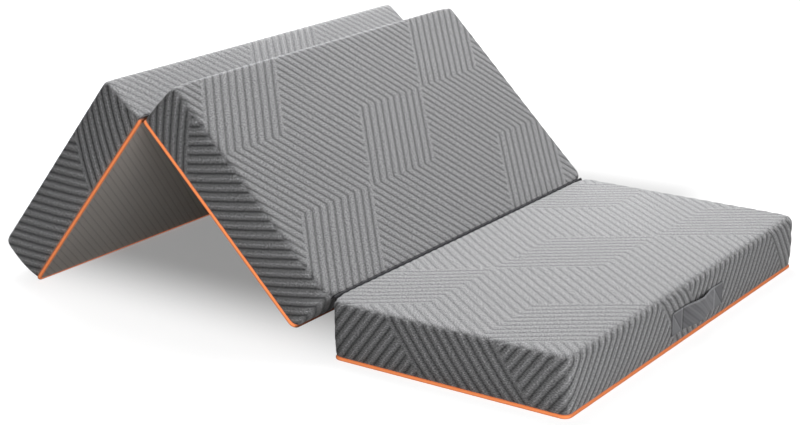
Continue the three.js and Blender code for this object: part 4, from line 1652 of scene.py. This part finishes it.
def makeTape(name, plan):
    length, width = zipLine["length"] / 2, zipLine["tapeWidth"] / 2
    rows, columns = 120, 8
    places = (np.linspace(-length, length, rows + 1), np.linspace(-width, width, columns + 1))
    along, up = np.meshgrid(*places, indexing="ij")
    ripple = 0.00008 * np.sin(along * 300) * (np.abs(up) / width) ** 2
    layers = []
    for depth in (0, zipLine["tapeThickness"]):
        level = zipLine["tapeFace"] - depth + ripple * (depth == 0)
        layers.append(np.stack([along, level, zipLine["height"] + up], -1).reshape(-1, 3))
    points = np.concatenate(layers)
    faces = []
    wide = columns + 1
    layer = (rows + 1) * wide
    for i in range(rows):
        for j in range(columns):
            corner = i * wide + j
            face = (corner, corner + 1, corner + wide + 1, corner + wide)
            faces.append(face)
            faces.append(tuple(index + layer for index in face[::-1]))
    border = [i * wide for i in range(rows)] + [rows * wide + j for j in range(columns)]
    border += [i * wide + columns for i in range(rows, 0, -1)] + [j for j in range(columns, 0, -1)]
    for s, index in enumerate(border):
        following = border[(s + 1) % len(border)]
        faces.append((index, following, following + layer, index + layer))
    piece = newPiece(name + "_tape", points, faces)
    mapCloth(piece.data, points[:, (0, 2)])
    dress(piece, tapeWeave)
    shadeSmooth(piece, math.radians(50))
    finishPiece(piece, piece.name, [name + "_zip_tape"], plan["body"], plan["matrix"])


def makeZip(name):
    plan = panels[name]
    makeTape(name, plan)
    level = zipLine["tapeFace"] + 0.00035 + zipLine["toothRise"] / 2
    length = zipLine["length"] / 2 - 0.002
    line = [(-length, level, zipLine["height"]), (length, level, zipLine["height"])]
    piece = newPiece(name + "_coil", line, [], [(0, 1)])
    addNodes(piece, toothTree, {
        "Tooth Pitch": zipLine["toothPitch"], "Tooth Width": zipLine["toothWidth"],
        "Tooth Rise": zipLine["toothRise"], "Material": zipNylon,
    })
    settle(piece)
    shadeSmooth(piece)
    finishPiece(piece, piece.name, [name + "_zip_teeth"], plan["body"], plan["matrix"])
    rows = []
    for side in (-1, 1):
        height = zipLine["height"] + side * (zipLine["tapeWidth"] / 2 - 0.0022)
        face = zipLine["tapeFace"] + 0.0002
        rows.append([(-length, face, height), (length, face, height)])
    makeStitches(name + "_tape_stitches", rows, plan["body"], plan["matrix"])
    for part in ("slider", "pull"):
        node = frame["nodes"][name + "_zip_" + part]
        node.data.materials.clear()
        node.data.materials.append(zipPaint)
        weld = node.modifiers.new("weld", "WELD")
        weld.merge_threshold = 0.00001
        soften = node.modifiers.new("soften", "BEVEL")
        soften.width = 0.00025
        soften.segments = 2
        soften.limit_method = "ANGLE"
        soften.angle_limit = math.radians(35)


for name in panels:
    makeZip(name)
print("zips made")


# Fold strips, drawn across each fold as it lies at rest

strip = {
    "length": 1.171,
    "thickness": 0.0011,
    "topHeight": 0.1345,  # where the top strip is sewn to each end face
    "topSag": 0.012,
    "peakHeight": 0.0145,
    "peakSag": 0.004,
    "stand": 0.0011,
    "alongSteps": 200,
    "foldSteps": 14,
}


def makeStrip(name, node, carrier, mover, startPlace, endPlace, sag):
    start = panels[carrier]["matrix"] @ Vector(startPlace)
    end = panels[mover]["matrix"] @ Vector(endPlace)
    across = end - start
    down = Vector((across.z, 0, -across.x)).normalized()
    if sag < 0:
        down = -down
    steps, rows = strip["foldSteps"], strip["alongSteps"]
    centre, side = [], []
    for step in range(steps + 1):
        share = step / steps
        point = start + across * share + down * abs(sag) * 4 * share * (1 - share)
        slope = across + down * abs(sag) * 4 * (1 - 2 * share)
        centre.append(point)
        side.append(Vector((-slope.z, 0, slope.x)).normalized() * strip["thickness"] / 2)
    points, faces = [], []
    ring = [centre[k] + side[k] for k in range(steps + 1)] + [centre[k] - side[k] for k in range(steps, -1, -1)]
    count = len(ring)
    for row in range(rows + 1):
        y = (row / rows - 0.5) * strip["length"]
        ripple = 0.0004 * math.sin(y * 90) + 0.0003 * math.sin(y * 37 + 1)
        for k, point in enumerate(ring):
            share = min(k, count - 1 - k) / steps
            points.append(point + Vector((0, y, 0)) + down * ripple * math.sin(math.pi * share))
    for row in range(rows):
        for k in range(count):
            following = (k + 1) % count
            lower, upper = row * count, (row + 1) * count
            faces.append((lower + k, lower + following, upper + following, upper + k))
    for row, flip in ((0, False), (rows, True)):
        for k in range(steps):
            face = (row * count + k, row * count + count - 1 - k, row * count + count - 2 - k, row * count + k + 1)
            faces.append(face[::-1] if flip else face)
    piece = newPiece(name, [tuple(point) for point in points], faces)
    shell = bmesh.new()
    shell.from_mesh(piece.data)
    bmesh.ops.recalc_face_normals(shell, faces=shell.faces)
    shell.to_mesh(piece.data)
    shell.free()
    places = placesOf(piece.data)
    alongFold = np.tile([min(k, count - 1 - k) * across.length / steps for k in range(count)], rows + 1)
    mapCloth(piece.data, np.stack([places[:, 1], alongFold], 1))
    # The strip's near-black colour is painted shade for the fold gap.
    dress(piece, foldShadeWeave)
    shadeSmooth(piece, math.radians(50))
    finishPiece(piece, name, [node], None)
    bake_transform(piece)
    return piece


stand = halfLength + strip["stand"]
makeStrip(
    "top_fold_strip", "top_hinge_strip", "base", "middle",
    (-stand, 0, strip["topHeight"]), (stand, 0, strip["topHeight"]), strip["topSag"],
)
makeStrip(
    "peak_fold_strip", "peak_hinge_strip", "middle", "end",
    (-stand, 0, strip["peakHeight"]), (stand, 0, strip["peakHeight"]), strip["peakSag"],
)
print("fold strips made")
